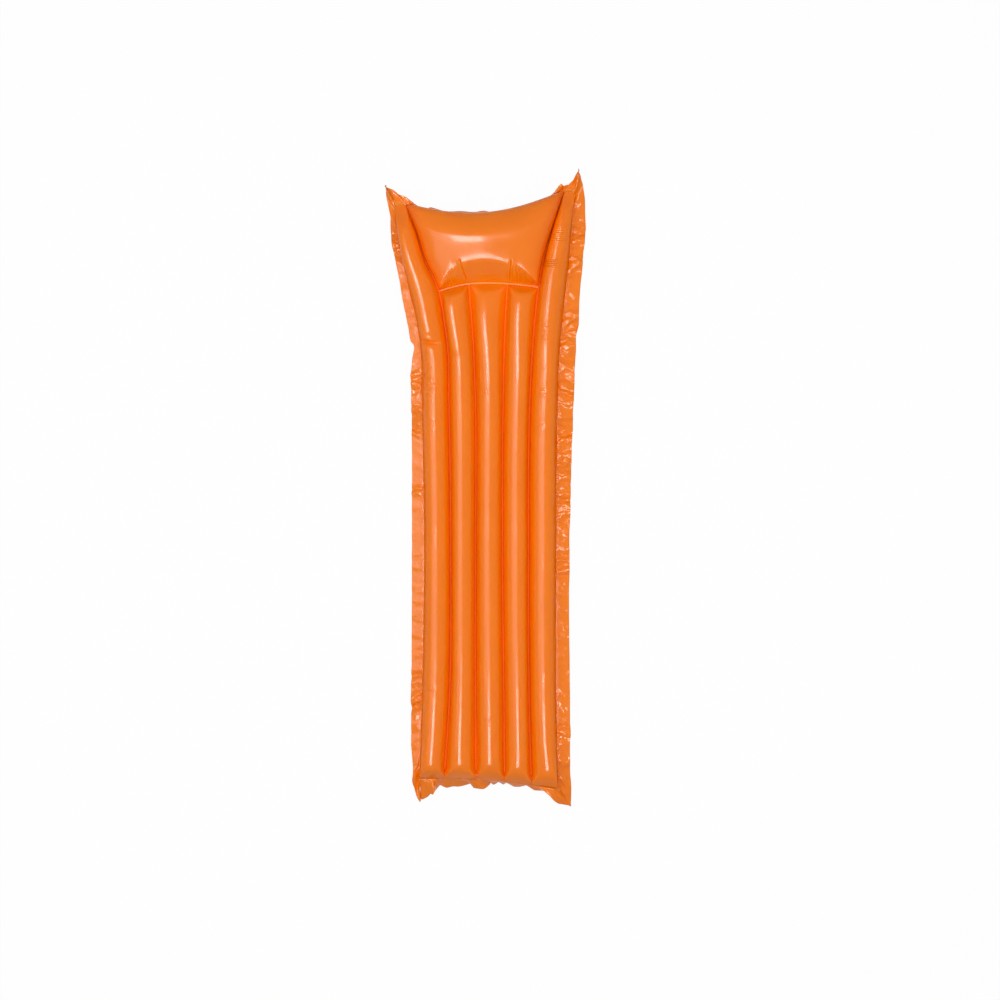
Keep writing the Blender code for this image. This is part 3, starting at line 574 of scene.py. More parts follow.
# wrinkled stretches of the crown: tube, middle, half length, strength
WRINKLES = (
    (0, 1.155, 0.085, 0.9), (0, 1.125, 0.030, 0.7), (0, 1.360, 0.050, 0.4), (0, 1.010, 0.025, 0.6),
    (0, 0.268, 0.012, 1.2), (4, 1.276, 0.038, 1.4), (4, 1.173, 0.010, 0.9), (4, 1.104, 0.016, 1.2),
    (4, 1.012, 0.010, 0.7), (4, 1.380, 0.060, 0.6), (1, 1.214, 0.016, 1.1), (2, 1.108, 0.014, 0.9),
    (2, 0.178, 0.014, 1.2), (3, 1.140, 0.010, 0.5), (4, 0.620, 0.030, 0.4), (0, 0.700, 0.040, 0.4),
)
# rows of fine pleats across a tube: tube, from, to along it, from, to across it, strength
TUBE_PLEATS = (
    (0, 1.446, 1.514, 0.02, 0.24, 2.6), (4, 1.523, 1.579, 0.12, 0.85, 0.8),
    (4, 1.452, 1.483, 0.15, 0.58, 1.6), (0, 1.270, 1.300, 0.00, 0.20, 1.0),
)
# the crease in the left outer tube: slant, how far across it reaches, its depth and the roll beside it
KINK_SLANT, KINK_END, KINK_FADE, KINK_DEPTH = 0.014, 0.82, 0.34, 0.36
KINK_ROLL, KINK_ROLL_MIDDLE, KINK_ROLL_REACH = 0.055, 0.015, 0.010
KINK_START, KINK_HEADWARDS, KINK_FOOTWARDS = 0.004, 0.0042, 0.0065


def kinked(rise, y, s):
    """The left outer tube's crease, with a roll of film above it."""
    away = y - (KINK_PLACE + KINK_START - KINK_SLANT * s)
    reach = smooth((KINK_END - s) / KINK_FADE)
    headwards, footwards = bump_at(away, 0, KINK_HEADWARDS), bump_at(away, 0, KINK_FOOTWARDS, 1)
    cut = np.where(away > 0, headwards, footwards)
    roll = bump_at(away, KINK_ROLL_MIDDLE, KINK_ROLL_REACH)
    return rise * (1 + reach * (KINK_ROLL * roll - KINK_DEPTH * cut))


def tube_rise(index, y, s, beside, arc, full, from_foot, from_head):
    """Height of a tube's film over its weld plane: round, and closed off at both ends."""
    foot = full * (from_foot / FOOT_HIPS[index]) ** FOOT_ROUND
    hip, roundness = OUTER_HEAD if index in (0, 4) else INNER_HEAD
    head = full * (from_head / hip) ** roundness
    rise = lower_of(lower_of(arc, foot, 5), head, 5)
    inner_weld = ((s < 0.5) & (index > 0)) | ((s > 0.5) & (index < 4))
    passage = PASSAGE_HEIGHT * np.sin(np.pi * np.clip(from_foot / PASSAGE, 0, 1)) ** 0.8
    passage = np.where(inner_weld, passage, 0) * np.exp(-(beside / PASSAGE_WIDTH) ** 2)
    rise = (rise ** 4 + passage ** 4) ** 0.25
    at_rim = (beside < 1e-9) & ~inner_weld | (from_foot < 1e-6) | (from_head < 1e-6)
    at_weld = (beside < 1e-9) & (passage < 1e-6)
    rise = np.where(at_rim | at_weld, 0.0, rise)
    return kinked(rise, y, s) if index == 0 else rise


def tube_lean(index, y, from_foot, from_head):
    """How far a tube's crown stands to the right of its middle."""
    lean = LEAN[index] * smooth(from_foot / 0.10)
    lean = lean + HEAD_LEAN * smooth((y - HEAD_LEAN_FROM) / HEAD_LEAN_OVER)
    lean = lean * smooth(from_head / 0.05)
    if index in CORNER_LEAN:
        lean = lean + CORNER_LEAN[index] * bump_at(from_foot, 0, CORNER_LEAN_REACH)
    return lean


def tube_marks(index, y, s, upper):
    """Where a tube's crown is wrinkled, and where it has rows of fine pleats."""
    crown, pleats = np.zeros_like(y), np.zeros_like(y)
    for tube, middle, reach, strength in WRINKLES:
        if tube == index:
            crown += strength * bump_at(y, middle, reach, 4) * bump_at(s, *WRINKLE_BELT)
    for tube, low, high, near, far, strength in TUBE_PLEATS:
        if tube == index:
            across = smooth((s - near) / 0.06) * smooth((far - s) / 0.06)
            pleats += strength * across * smooth((y - low) / 0.008) * smooth((high - y) / 0.008)
    return np.where(upper, crown, 0), np.where(upper, pleats, 0)


def tube_relief(index, y, s, beside, crown):
    """Height of the puckers beside the welds, the slow unevenness and the wrinkles of the crown."""
    left, right = (ripple(y, PUCKER_SPACING, 10 + index * 2 + side) for side in (0, 1))
    strength = np.exp(-beside / PUCKER_REACH) * smooth(beside / 0.0015) * PUCKER_HEIGHT
    pucker = np.where(s < 0.5, left, right) * (strength * (1 + ripple(y, 0.09, 40 + index)))
    swell = SWELL_HEIGHT * ripple(y + 0.3 * beside, SWELL_SPACING, 60 + index) * smooth(beside / 0.02)
    return pucker + swell + WRINKLE_HEIGHT * crown * ripple(y, WRINKLE_SPACING, 80 + index)


def tube_film(name, index):
    """One tube: upper and lower film of a fixed width over the chord between two weld lines."""
    outer = index in (0, 4)
    length = TUBE_LENGTH + (side_length(index) if outer else 0.0)
    mesh, column, u = film_grid(int(length / ROW_STEP), 2 * TUBE_COLUMNS)
    upper, t = upper_and_lower(column, TUBE_COLUMNS)
    s = t - CROWDING * np.sin(2 * np.pi * t) / (2 * np.pi)
    sign = np.where(upper, 1.0, -1.0)

    x = (index - 2.5 + s) * PITCH
    for _ in range(4):
        start = foot_y(x)
        end = np.full_like(x, length) if outer else pillow_foot_y(x) - WELD / 2
        y = start + (end - start) * u
        inset = smooth((y - start - PASSAGE) / WELD_TAPER) * WELD / 2
        left = weld_x(index, y) + (0 if index == 0 else inset)
        right = weld_x(index + 1, y) - (0 if index == 4 else inset)
        chord = right - left
        full = TUBE_HEIGHT / 2 + lift(y) * (film_rise(chord) - TUBE_HEIGHT / 2)
        full = lower_of(full, FULLEST * chord, 8)
        radius = (chord * chord / 4 + full * full) / (2 * full)
        half = 2 * np.arctan(2 * full / chord)
        bend = half * (2 * s - 1)
        x = (left + right) / 2 + radius * np.sin(bend)
    from_foot, from_head = np.maximum(y - start, 0), np.maximum(end - y, 0)
    beside = np.minimum(s, 1 - s) * FILM_WIDTH

    arc = radius * np.cos(bend) - radius + full
    rise = tube_rise(index, y, s, beside, arc, full, from_foot, from_head)
    drawn = WELD_DRAW * np.sin(np.pi * np.clip(beside / FILM_WIDTH * 4, 0, 1)) ** 0.8
    drawn *= smooth((np.minimum(from_foot, from_head) - 0.004) / 0.02)
    x = x + np.where(s < 0.5, drawn, -drawn)
    x = x + np.where(upper, tube_lean(index, y, from_foot, from_head) * (rise / full) ** 2, 0)
    z = middle_z(y) + sign * rise
    points = np.stack([x, y, z], axis=2)

    n = film_normals(points)
    n *= np.sign((n[:, :, 2] * sign).sum())
    crown, pleats = tube_marks(index, y, s, upper)
    inside = smooth(np.minimum(from_foot, from_head) / 0.004)
    points += n * (inside * tube_relief(index, y, s, beside, crown))[:, :, None]
    points[:, :, 2] = np.maximum(points[:, :, 2], 0.0)
    if name == "tube_centre":
        points = np.where(upper[:, :, None], points, drawn_in(points, "body"))
    points[:, -1] = points[:, 0]

    # at_side places the puckers beside the welds and also the painted light there, a brighter red for light
    # through the film
    at_side = np.exp(-beside / 0.010)
    at_end = (0 if outer else 1.0) * np.exp(-from_head / 0.009) + 0.5 * np.exp(-from_foot / 0.007)
    lay_film(mesh, points, gathers=(at_side, at_end, crown, pleats), flat=(s * FILM_WIDTH, y))
    piece = finish_piece(name, mesh, FILM, chamber=True)
    if name == "tube_centre":
        cut_for_valve(piece, "body")


for index, name in enumerate(TUBES):
    tube_film(name, index)


# ---- pillow ----

PILLOW_ROWS = 190
PILLOW_COLUMNS = 280
CROWN_POWER = 3.4  # squareness of the crown from side to side
CROWN_SHIFT = 0.25  # how far its flat top lies to the right
APEX = 0.40  # where along the pillow it is highest, from -1 at its foot to 1 at its head
APEX_RADIUS = 0.086
CROWN_FALL = 0.29  # slope towards the foot, beyond the rounded top
FACE_SLOPE = 0.95
RIDGE_SHARP, RIDGE_SOFTER = 11, 6  # edge between the face and the crown, softer at the sides
FACE_STEEP = 0.15  # least share of the face's rounding, so that its ends stay finite
# fans of fine folds on the face: slant, where it starts, middle, half width, its power, depth, spacing
FACE_FOLDS = (
    (-0.12, 0.02, 0.101, 0.043, 6, 0.0016, 0.0078), (0.60, 0.0, -0.100, 0.028, 4, 0.0009, 0.0085),
)
# creases on the face, each from its upper to its lower end
FACE_CREASES = (((-0.0846, 1.4748), (-0.0620, 1.4156)), ((0.0592, 1.4748), (0.0550, 1.4156)))
CREASE_DEPTH, CREASE_WIDTH = 0.0030, 0.0016
CREASE_LIP, CREASE_LIP_PLACE, CREASE_LIP_WIDTH = 0.0012, 0.0045, 0.003
END_POWER, UNDER_POWER, OVERHANG_POWER = 2.8, 3.2, 2.2  # squareness in plan
PILLOW_HALF_WIDTH, PILLOW_HALF_LENGTH = 0.17, 0.103
PILLOW_SWELL_SPACING, PILLOW_SWELL_HEIGHT = 0.05, 0.0006


def pillow_plan(across, along):
    """Place in plan inside the pillow, and the distance from its foot weld."""
    t, s = (along + 1) / 2, (across + 1) / 2
    ends = []
    for index, side in ((1, 1), (4, -1)):
        start = weld_x(index, TUBE_LENGTH) + side * WELD / 2
        y = (pillow_foot_y(start) + WELD / 2) * (1 - t) + (TUBE_LENGTH + side_length(index)) * t
        ends.append((start, weld_x(index, y) + side * WELD / 2, TUBE_LENGTH + side_length(index)))
    (left_start, left_x, left_head), (right_start, right_x, right_head) = ends
    foot_x = left_start + s * (right_start - left_start)
    x = left_x + s * (right_x - left_x)
    head = left_head + s * (right_head - left_head)
    foot = pillow_foot_y(foot_x) + WELD / 2
    y = foot * (1 - t) + (head - PILLOW_SAG * (1 - across * across)) * t
    return x, y, y - foot


def beside_line(x, y, a, b):
    """Distance to the side of the line from a to b, and the share of the way along it."""
    ax, ay = b[0] - a[0], b[1] - a[1]
    size = math.hypot(ax, ay)
    share = ((x - a[0]) * ax + (y - a[1]) * ay) / size ** 2
    return ((x - a[0]) * ay - (y - a[1]) * ax) / size, share


def pillow_top(x, y, across, along, from_foot):
    """Rise of the pillow's upper film: a flat face from the foot, a ridge, and a crown to the head."""
    half = PILLOW_HEIGHT / 2
    shifted = across - CROWN_SHIFT * (1 - across ** 2)
    side = np.clip(1 - np.abs(shifted) ** CROWN_POWER, 0, 1) ** (1 / CROWN_POWER)
    to_foot = np.clip(APEX - along, 0, 2) * ((SIDE_LEFT + SIDE_RIGHT) / 2 - PILLOW_ARCH - PILLOW_SAG) / 2
    to_head = np.clip((along - APEX) / (1 - APEX), 0, 1)
    bend = APEX_RADIUS * CROWN_FALL
    drop = CROWN_FALL * (np.sqrt(to_foot ** 2 + bend ** 2) - bend)
    crown = side * (half - drop) * np.sqrt(1 - to_head ** 2.2)
    face = FACE_SLOPE * from_foot * side / np.maximum((1 - across ** 2) ** 0.75, FACE_STEEP)
    rise = lower_of(crown, face, RIDGE_SHARP - RIDGE_SOFTER * smooth((np.abs(across) - 0.25) / 0.35))
    on_face = smooth((crown - face + 0.014) / 0.012) * smooth(from_foot / 0.003)

    for slant, start, middle, half_width, power, depth, spacing in FACE_FOLDS:
        fan = x + slant * (y - TUBE_LENGTH - start)
        folds = bump_at(fan, middle, half_width, power) * on_face
        rise = rise - depth * folds * (1 + np.cos(2 * np.pi * fan / spacing))
    for a, b in FACE_CREASES:
        gap, share = beside_line(x, y, a, b)
        fade = smooth((share + 0.14) / 0.14) * smooth((1.02 - share) / 0.25)
        rise = rise - CREASE_DEPTH * fade * bump_at(gap, 0, CREASE_WIDTH)
        rise = rise + CREASE_LIP * fade * bump_at(gap, CREASE_LIP_PLACE, CREASE_LIP_WIDTH)
    return rise


def pillow_film():
    """The pillow: a shaped upper film and a plainly rounded lower one."""
    mesh, column, u = film_grid(PILLOW_ROWS, 2 * PILLOW_COLUMNS)
    upper, t = upper_and_lower(column, PILLOW_COLUMNS)
    across = np.sin((t - 0.5) * np.pi) * 0.5 + (2 * t - 1) * 0.5
    along = 2 * u - 1
    along = np.sin(along * np.pi / 2) * 0.40 + along * 0.60
    x, y, from_foot = pillow_plan(across, along)
    half = PILLOW_HEIGHT / 2
    end = 1 - np.abs(along) ** END_POWER
    under = half * np.sqrt(np.clip((1 - np.abs(across) ** UNDER_POWER) * end, 0, 1))
    above = pillow_top(x, y, across, along, from_foot)
    border = (across ** 2 > 1 - 1e-9) | (along ** 2 > 1 - 1e-9)
    rise = np.where(border, 0, np.where(upper, np.maximum(above, 0), -under))
    share = np.sqrt(np.clip((1 - np.abs(across) ** OVERHANG_POWER) * end, 0, 1))
    over = PILLOW_OVERHANG * 4 * share * (1 - share) * smooth(2 * along - 1)
    z = middle_z(y) + rise
    y = y + np.where(upper, over, 0)
    points = np.stack([x, y, np.maximum(z, 0)], axis=2)
    points = np.where(upper[:, :, None], points, drawn_in(points, "pillow"))
    points[:, -1] = points[:, 0]
    beside = (1 - np.abs(across)) * PILLOW_HALF_WIDTH
    swell = PILLOW_SWELL_HEIGHT * ripple(x + 0.2 * y, PILLOW_SWELL_SPACING, 91)
    swell = swell * smooth(beside / 0.03) * smooth((1 - np.abs(along)) / 0.3)
    points[:, :, 2] += np.where(upper, swell, 0)
    # at_side places the puckers beside the welds and also the painted light there, a brighter red for light
    # through the film
    at_side = np.exp(-beside / 0.014)
    at_end = np.exp(-(1 - np.abs(along)) * PILLOW_HALF_LENGTH / 0.009)
    lay_film(mesh, points, gathers=(at_side, at_end), flat=(x, y))
    piece = finish_piece("pillow", mesh, FILM, chamber=True)
    cut_for_valve(piece, "pillow")


pillow_film()


# ---- welds ----

WELD_OVERLAP = 0.0014  # so that no slit shows beside a weld
WELD_UNEVEN, WELD_UNEVEN_SPACING = 0.0004, 0.008


def weld_band(name, x, y, material=TUBE_WELD):
    """Flat welded band along a line, a little uneven."""
    rows = len(x) - 1
    mesh, across, _ = film_grid(rows, 6)
    across = across - 0.5
    line = np.stack([x, y, middle_z(y)], axis=1)
    way = np.gradient(line, axis=0)
    aside = np.stack([way[:, 1], -way[:, 0], 0 * way[:, 0]], axis=1)
    aside /= np.linalg.norm(aside, axis=1, keepdims=True)
    points = line[:, None, :] + aside[:, None, :] * across[:, :, None] * (WELD + WELD_OVERLAP)
    uneven = WELD_UNEVEN * ripple(line[:, 1] + line[:, 0], WELD_UNEVEN_SPACING, 7)
    points[:, :, 2] += uneven[:, None] * (1 - 2 * np.abs(across))
    lay_film(mesh, points)
    thicken(finish_piece(name, mesh, material))


for index in range(1, 5):
    first = float(foot_y(weld_x(index, 0.0))) + PASSAGE
    y = np.linspace(first, float(pillow_foot_y(weld_x(index, TUBE_LENGTH))), 400)
    weld_band(f"tube_weld_{index}", weld_x(index, y), y)
corner = pillow_foot_y(weld_x(1, TUBE_LENGTH))
x = np.linspace(float(weld_x(1, corner)), float(weld_x(4, TUBE_LENGTH)), 120)
weld_band("pillow_weld_foot", x, pillow_foot_y(x), PILLOW_WELD)
for name, index in (("pillow_weld_left", 1), ("pillow_weld_right", 4)):
    y = np.linspace(float(pillow_foot_y(weld_x(index, TUBE_LENGTH))), TUBE_LENGTH + side_length(index), 90)
    weld_band(name, weld_x(index, y), y)


# ---- edge film ----

EDGE_REACH = 0.036  # width of the strips at the foot and the head, which hang
EDGE_ROW_STEP = 0.0032
EDGE_COLUMNS = 12
FOOT_POINTS, HEAD_POINTS = 150, 190
CORNER_FADE, HANG_FADE = 0.09, 0.10
EDGES = ("edge_left", "edge_right", "edge_foot", "edge_head")
EDGE_SLOPE = {"edge_left": -0.19, "edge_right": -0.02}
CORNER_SLOPE = {"foot": -0.60, "head": -0.15}
# how far each part of the film follows the cloth simulation, 1 being all the way
FREEDOM, CRUMPLE_FREEDOM, HANGING_FREEDOM = 0.40, 1.7, 0.8
# free edge of each strip in plan, on the mattress's own axes, in tenths of a millimetre
TENTHS = 10000  # in a metre
LEFT_OUTLINE = (
    (-1929, -396), (-2030, -226), (-2115, 0), (-2186, 168), (-2166, 422), (-2188, 704), (-2228, 1099),
    (-2205, 4821), (-2200, 9221), (-2228, 11589), (-2190, 12050), (-2140, 12300), (-2150, 12400),
    (-2240, 12500), (-2265, 12650), (-2312, 12943), (-2453, 13620), (-2566, 14297), (-2707, 14973),
    (-2810, 15600), (-2800, 15989), (-2876, 16327), (-2961, 16609), (-2981, 16863))
RIGHT_OUTLINE = (
    (2242, -579), (2256, 84), (2256, 2396), (2228, 4821), (2228, 6344), (2256, 8036), (2284, 9221),
    (2369, 11589), (2397, 12266), (2397, 12605), (2482, 12943), (2510, 13620), (2566, 14297),
    (2623, 14973), (2679, 15650), (2679, 16496), (2665, 16835), (2623, 17060), (2552, 17328))
FOOT_OUTLINE = (
    (-1929, -396), (-1833, -367), (-1734, -311), (-1686, -240), (-1607, -277), (-1523, -114), (-1410, 2),
    (-1325, -43), (-1227, -85), (-902, -57), (-564, 5), (-479, -114), (-169, -128), (-28, -29), (14, 42),
    (85, -29), (268, 73), (361, -21), (451, 27), (564, -29), (677, -71), (818, -85), (959, -57),
    (1114, -18), (1227, -178), (1438, -170), (1607, -255), (1805, -466), (1918, -537), (2242, -579))
HEAD_OUTLINE = (
    (-2981, 16863), (-2707, 16764), (-2566, 16665), (-2327, 16581), (-2256, 16510), (-2087, 16383),
    (-1918, 16338), (-1777, 16271), (-1650, 16305), (-1579, 16275), (-1241, 16195), (-733, 16190),
    (-226, 16190), (113, 16214), (451, 16243), (790, 16299), (1128, 16384), (1297, 16420), (1467, 16500),
    (1523, 16553), (1692, 16665), (2002, 16947), (2073, 16863), (2284, 17032), (2552, 17328))
# crumpled stretches of the two side strips: middle, half length
LEFT_CRUMPLES = ((0.245, 0.050), (0.31, 0.012), (0.83, 0.012), (1.03, 0.045), (1.14, 0.03), (1.53, 0.05),
                 (1.66, 0.05), (0.03, 0.05))
RIGHT_CRUMPLES = ((0.0, 0.07), (0.15, 0.02), (0.62, 0.05), (0.79, 0.06), (0.90, 0.05), (1.00, 0.04),
                  (1.12, 0.05), (1.26, 0.09), (1.46, 0.03), (1.55, 0.04), (1.66, 0.04))


def weld_corner(index, head):
    """Corner of the outermost weld, at the head or the foot."""
    y = TUBE_LENGTH + side_length(index) if head else float(foot_y(weld_x(index, 0.0)))
    return np.array([float(weld_x(index, y)), y])


def edge_runs():
    """For each strip: the line it is welded on, its free edge in plan, and its slope if it isn't hanging."""
    runs = {}
    corners = {}
    for name, index, outline in (("edge_left", 0, LEFT_OUTLINE), ("edge_right", 5, RIGHT_OUTLINE)):
        a, b = weld_corner(index, False), weld_corner(index, True)
        y = np.linspace(a[1], b[1], int((b[1] - a[1]) / EDGE_ROW_STEP))
        root = np.stack([weld_x(index, y), y], axis=1)
        to_foot = 1 - smooth((y - a[1]) / CORNER_FADE)
        to_head = 1 - smooth((b[1] - y) / CORNER_FADE)
        outline = np.array(outline) / TENTHS
        free_y = y + to_foot * (outline[0, 1] - a[1]) + to_head * (outline[-1, 1] - b[1])
        free = np.stack([np.interp(free_y, outline[:, 1], outline[:, 0]), free_y], axis=1)
        slope = EDGE_SLOPE[name] * (1 - to_foot - to_head)
        slope = slope + CORNER_SLOPE["foot"] * to_foot + CORNER_SLOPE["head"] * to_head
        runs[name] = (root, free, slope)
        corners[name] = (a, b)
    (la, lb), (ra, rb) = corners["edge_left"], corners["edge_right"]
    x = np.linspace(la[0], ra[0], FOOT_POINTS)
    root = along_line(np.stack([x, foot_y(x)], axis=1), FOOT_POINTS)
    runs["edge_foot"] = (root, along_line(np.array(FOOT_OUTLINE) / TENTHS, FOOT_POINTS), None)
    across = np.linspace(-1, 1, 80)
    x, y, _ = pillow_plan(across, np.ones_like(across))
    root = along_line(np.concatenate([[lb], np.stack([x, y], axis=1), [rb]]), HEAD_POINTS)
    runs["edge_head"] = (root, along_line(np.array(HEAD_OUTLINE) / TENTHS, HEAD_POINTS), None)
    return runs


def edge_sheet():
    """The whole edge film as one sheet, and each strip's widest place, length and area as cut."""
    sheet, cuts = bmesh.new(), {}
    for number, (name, (root, free, slope)) in enumerate(edge_runs().items()):
        rows = len(root) - 1
        mesh, share, _ = film_grid(rows, EDGE_COLUMNS)
        root_z = middle_z(root[:, 1])
        reach = np.linalg.norm(free - root, axis=1)
        if slope is None:
            along = np.linspace(0, 1, rows + 1)
            hang = smooth(np.minimum(along, 1 - along) / HANG_FADE)
            ends = CORNER_SLOPE["foot" if name == "edge_foot" else "head"]
            drop = np.sqrt(np.clip(EDGE_REACH ** 2 - reach ** 2, 0, None))
            free_z = root_z + (1 - hang) * ends * reach - hang * drop
            freedom = np.full(rows + 1, HANGING_FREEDOM)
        else:
            free_z = root_z + slope * reach
            freedom = np.full(rows + 1, FREEDOM)
            for middle, half in (LEFT_CRUMPLES if name == "edge_left" else RIGHT_CRUMPLES):
                bump = bump_at(root[:, 1], middle, half, 4)
                freedom = np.maximum(freedom, FREEDOM + CRUMPLE_FREEDOM * bump)
        a = np.concatenate([root, root_z[:, None]], axis=1)[:, None, :]
        b = np.concatenate([free, free_z[:, None]], axis=1)[:, None, :]
        points = a * (1 - share[:, :, None]) + b * share[:, :, None]
        width = np.linalg.norm(b - a, axis=2)
        distance = share * width
        width = width[:, 0]
        steps = np.linalg.norm(np.diff(a[:, 0], axis=0), axis=1)
        cuts[name] = (width.max(), steps.sum(), float(steps @ (width[1:] + width[:-1]) / 2))
        freedom = np.repeat(freedom[:, None], EDGE_COLUMNS + 1, axis=1)
        lay_film(mesh, points, gathers=(distance / WELD_BORDER, 0 * share), out=share, loose=freedom)
        mesh.polygons.foreach_set("material_index", [number] * len(mesh.polygons))
        sheet.from_mesh(mesh)
        bpy.data.meshes.remove(mesh)
    bmesh.ops.remove_doubles(sheet, verts=sheet.verts, dist=1e-5)
    bmesh.ops.recalc_face_normals(sheet, faces=sheet.faces)
    return sheet, cuts


CLOTH_FRAMES = 30
START_UNEVEN = 0.0006  # gives the buckling somewhere to start
FREE_HOLD = 0.02  # the free film is held this much, the weld fully
EXTRA_CLOTH = 0.035


def crumple(sheet, frames):
    """Let the edge film buckle as a cloth that is a little too long for its weld line."""
    out = sheet.verts.layers.float["out"]
    loose = sheet.verts.layers.float["loose"]
    share = np.array([v[out] for v in sheet.verts])
    start = [v.co.copy() for v in sheet.verts]
    rng = np.random.default_rng(4)
    for v, dz in zip(sheet.verts, rng.uniform(-1, 1, len(share)) * START_UNEVEN * share):
        v.co.z += dz
    mesh = bpy.data.meshes.new("edge_sheet")
    sheet.to_mesh(mesh)
    obj = new_object("edge_sheet", mesh)
    held = obj.vertex_groups.new(name="held")
    for k, value in enumerate(share):
        held.add([k], 1.0 if value < 1e-6 else FREE_HOLD, "REPLACE")
    cloth = obj.modifiers.new("cloth", "CLOTH")
    settings = cloth.settings
    settings.quality = 6
    settings.mass = 0.15
    settings.tension_stiffness = settings.compression_stiffness = 40
    settings.shear_stiffness = 20
    settings.bending_stiffness = 0.8
    settings.air_damping = 2
    settings.vertex_group_mass = "held"
    settings.pin_stiffness = 0.4
    settings.shrink_min = -EXTRA_CLOTH
    settings.effector_weights.gravity = 0.0
    cloth.point_cache.frame_start, cloth.point_cache.frame_end = 1, frames
    for number in range(1, frames + 1):
        bpy.context.scene.frame_set(number)
    evaluated = obj.evaluated_get(bpy.context.evaluated_depsgraph_get())
    moved = [v.co.copy() for v in evaluated.data.vertices]
    bpy.context.scene.frame_set(1)
    bpy.data.objects.remove(obj)
    for v, was, now in zip(sheet.verts, start, moved):
        v.co = was + (now - was) * v[loose] if v[out] > 1e-6 else was


sheet, cuts = edge_sheet()
crumple(sheet, CLOTH_FRAMES)
for number, name in enumerate(EDGES):
    bm = sheet.copy()
    bmesh.ops.delete(bm, geom=[f for f in bm.faces if f.material_index != number], context="FACES")
    mesh = new_mesh(name, bm)
    mesh.polygons.foreach_set("material_index", [0] * len(mesh.polygons))
    piece = finish_piece(name, mesh, EDGE)
    rounder = piece.modifiers.new("rounder", "SUBSURF")
    rounder.levels = rounder.render_levels = 1
    thicken(piece)
sheet.free()


# ---- valves ----

for name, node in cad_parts.items():
    if "valve" in name and "tether" not in name:
        node.data.materials.clear()
        node.data.materials.append(CLEAR)

STRAP_WIDTH, STRAP_THICKNESS, STRAP_BITE = 0.0030, 0.0008, 0.0003
RIM_RADIUS, CAP_RADIUS, STRAP_REACH = 0.0068, 0.0065, 0.0060
RIM_MIDDLE, CAP_MIDDLE = 0.0009, 0.0026


def valve_strap(valve):
    """Strap from the stem's rim round to the plug's cap; it bends when the plug is pulled."""
    centre, outwards = VALVES[valve]
    across = Vector((1, 0, 0))
    bend = (CAP_MIDDLE - RIM_MIDDLE) / 2
    turn = -(RIM_RADIUS + STRAP_REACH)
    line = [(-(RIM_RADIUS + STRAP_BITE), RIM_MIDDLE)]
    for angle in np.linspace(0, math.pi, 25):
        line.append((turn - bend * math.sin(angle), RIM_MIDDLE + bend * (1 - math.cos(angle))))
    line.append((-(CAP_RADIUS + STRAP_BITE), CAP_MIDDLE))
    line = along_line(line, 49)
    way = np.gradient(line, axis=0)
    way /= np.linalg.norm(way, axis=1, keepdims=True)
    mesh, share, _ = film_grid(len(line) - 1, 24)
    turned = 2 * np.pi * share
    aside = np.cos(turned) * STRAP_WIDTH / 2
    thick = np.sign(np.sin(turned)) * np.abs(np.sin(turned)) ** 0.5 * STRAP_THICKNESS / 2
    place = line[:, None, :] + thick[:, :, None] * np.stack([-way[:, 1], way[:, 0]], axis=1)[:, None, :]
    to_body = np.array(centre - PLACE)
    third = np.array(outwards.cross(across))
    points = to_body + aside[:, :, None] * np.array(across) + place[:, :, :1] * third
    points = points + place[:, :, 1:] * np.array(outwards)
    lay_film(mesh, points)
    piece = finish_piece(f"{valve}_valve_tether", mesh, CLEAR, body=None, closed=True)
    first, last = (centre + Vector(third) * p[0] + outwards * p[1] for p in (line[1], line[-2]))
    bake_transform(piece, f"{valve}_valve_stem", f"{valve}_valve_plug", first, last)


for valve in VALVES:
    valve_strap(valve)


# ---- studio ----

LAMP_HEIGHT = 2.3
# lamps that only show as reflections: size, radiance, place
REFLECTED_LAMPS = {
    "strip_foot": ((0.70, 0.80), 20.0, (-0.23, -1.09)),
    "strip_head": ((0.70, 0.62), 20.0, (-0.42, 0.39)),
    "wide_head": ((1.30, 0.90), 3.6, (-0.62, 0.30)),
    "wide_body": ((2.20, 1.60), 2.6, (-1.06, -0.02)),
}
# lamps that only light the surfaces: size, radiance, place, target
LIGHTING_LAMPS = {
    "fill": ((5.0, 6.0), 1.50, (-0.2, 0, 2.6), (-0.1, 0, 0)),
    "far_right": ((6.0, 0.5), 0.5, (4.0, 0, 1.95), (0, 0, 0)),
}
WORLD_LIGHT = 0.11  # for all rays that don't show the background
FLOOR_WHITE = 0.97
FLOOR_PLACE = -0.001
CAMERA_PLACE = (0.0446, -0.0338, 12.0)
VIEW_WIDTH, VIEW_PLANE = 2.82, 0.05  # the picture is this wide at this height
SENSOR_WIDTH = 36


def area_light(name, size, radiance, place, target):
    """Soft lamp that isn't seen itself; radiance 1 looks white."""
    light = bpy.data.lights.new(name, "AREA")
    light.shape = "RECTANGLE"
    light.size, light.size_y = size
    light.energy = radiance * math.pi * size[0] * size[1]
    obj = new_object(name, light)
    obj.location = place
    direction = Vector(target) - Vector(place)
    obj.rotation_euler = direction.to_track_quat("-Z", "Y").to_euler()
    obj.visible_camera = False
    return obj


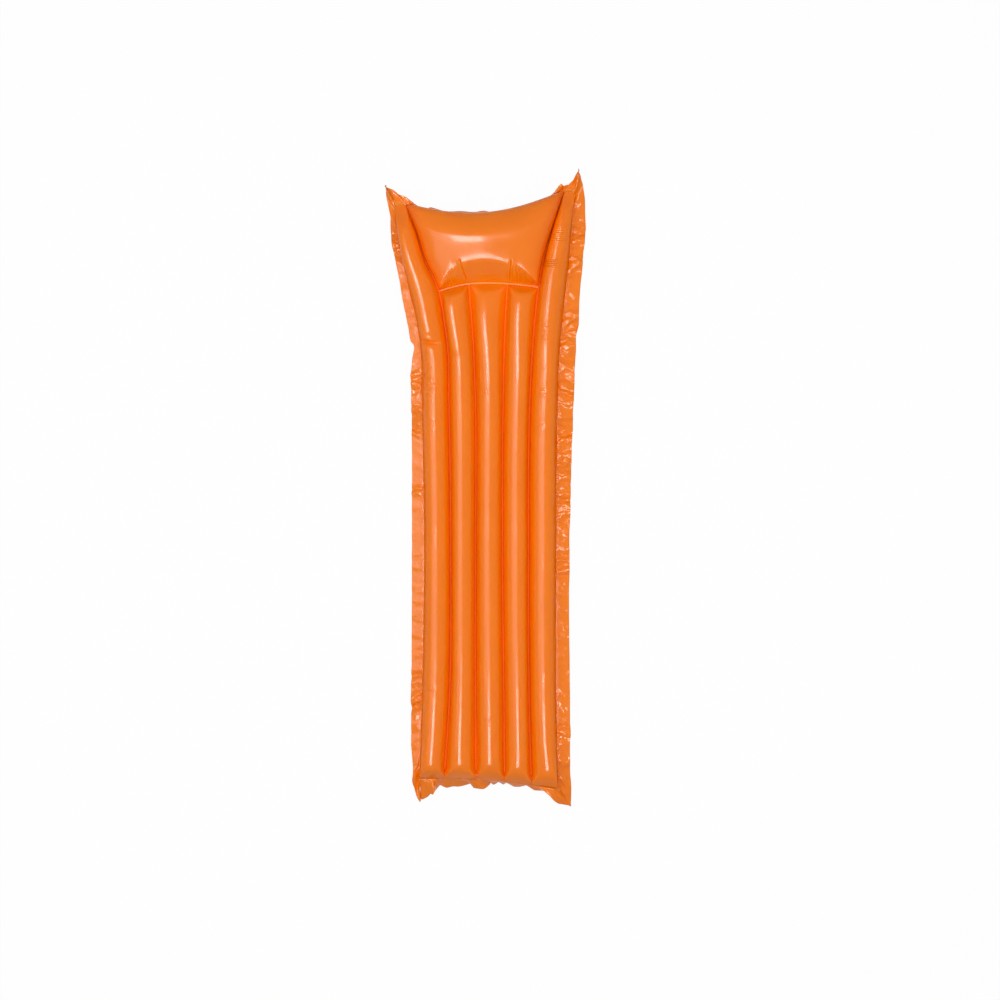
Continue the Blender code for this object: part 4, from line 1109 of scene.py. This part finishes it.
for name, (size, radiance, place) in REFLECTED_LAMPS.items():
    area_light(name, size, radiance, (*place, LAMP_HEIGHT), (*place, 0)).visible_diffuse = False
for name, (size, radiance, place, target) in LIGHTING_LAMPS.items():
    area_light(name, size, radiance, place, target).visible_glossy = False


def shown_white(tree):
    """1 for rays that show the background: seen directly, in a reflection or through clear vinyl."""
    path = tree.nodes.new("ShaderNodeLightPath")
    seen = calc(tree, "MAXIMUM", path.outputs["Is Camera Ray"], path.outputs["Is Glossy Ray"])
    return calc(tree, "MAXIMUM", seen, path.outputs["Is Transmission Ray"])


world = bpy.data.worlds.new("studio")
bpy.context.scene.world = world
world.use_nodes = True
nodes, links = world.node_tree.nodes, world.node_tree.links
background = nodes["Background"]
preset(background, Color=(1, 1, 1, 1))
level = nodes.new("ShaderNodeMapRange")
preset(level, To_Min=WORLD_LIGHT, To_Max=1.0)
links.new(shown_white(world.node_tree), level.inputs["Value"])
links.new(level.outputs["Result"], background.inputs["Strength"])

bm = bmesh.new()
bmesh.ops.create_grid(bm, x_segments=1, y_segments=1, size=30)
floor = new_object("floor", new_mesh("floor", bm))
floor.location.z = FLOOR_PLACE
floor_finish = bpy.data.materials.new("pale_floor")
floor_finish.use_nodes = True
nodes, links = floor_finish.node_tree.nodes, floor_finish.node_tree.links
shader = nodes["Principled BSDF"]
preset(shader, Base_Color=(0.80, 0.80, 0.80, 1), Roughness=0.9, Specular_IOR_Level=0.1)
glow = nodes.new("ShaderNodeEmission")
preset(glow, Strength=1.0)
share = calc(floor_finish.node_tree, "MULTIPLY", shown_white(floor_finish.node_tree), FLOOR_WHITE)
mix = nodes.new("ShaderNodeMixShader")
links.new(share, mix.inputs["Fac"])
links.new(shader.outputs[0], mix.inputs[1])
links.new(glow.outputs[0], mix.inputs[2])
links.new(mix.outputs[0], nodes["Material Output"].inputs["Surface"])
floor.data.materials.append(floor_finish)

camera_data = bpy.data.cameras.new("camera")
camera = new_object("camera", camera_data)
camera.location = CAMERA_PLACE
camera_data.lens = SENSOR_WIDTH * (CAMERA_PLACE[2] - VIEW_PLANE) / VIEW_WIDTH
camera_data.clip_end = 100
bpy.context.scene.camera = camera
bpy.context.scene.view_settings.view_transform = "Standard"
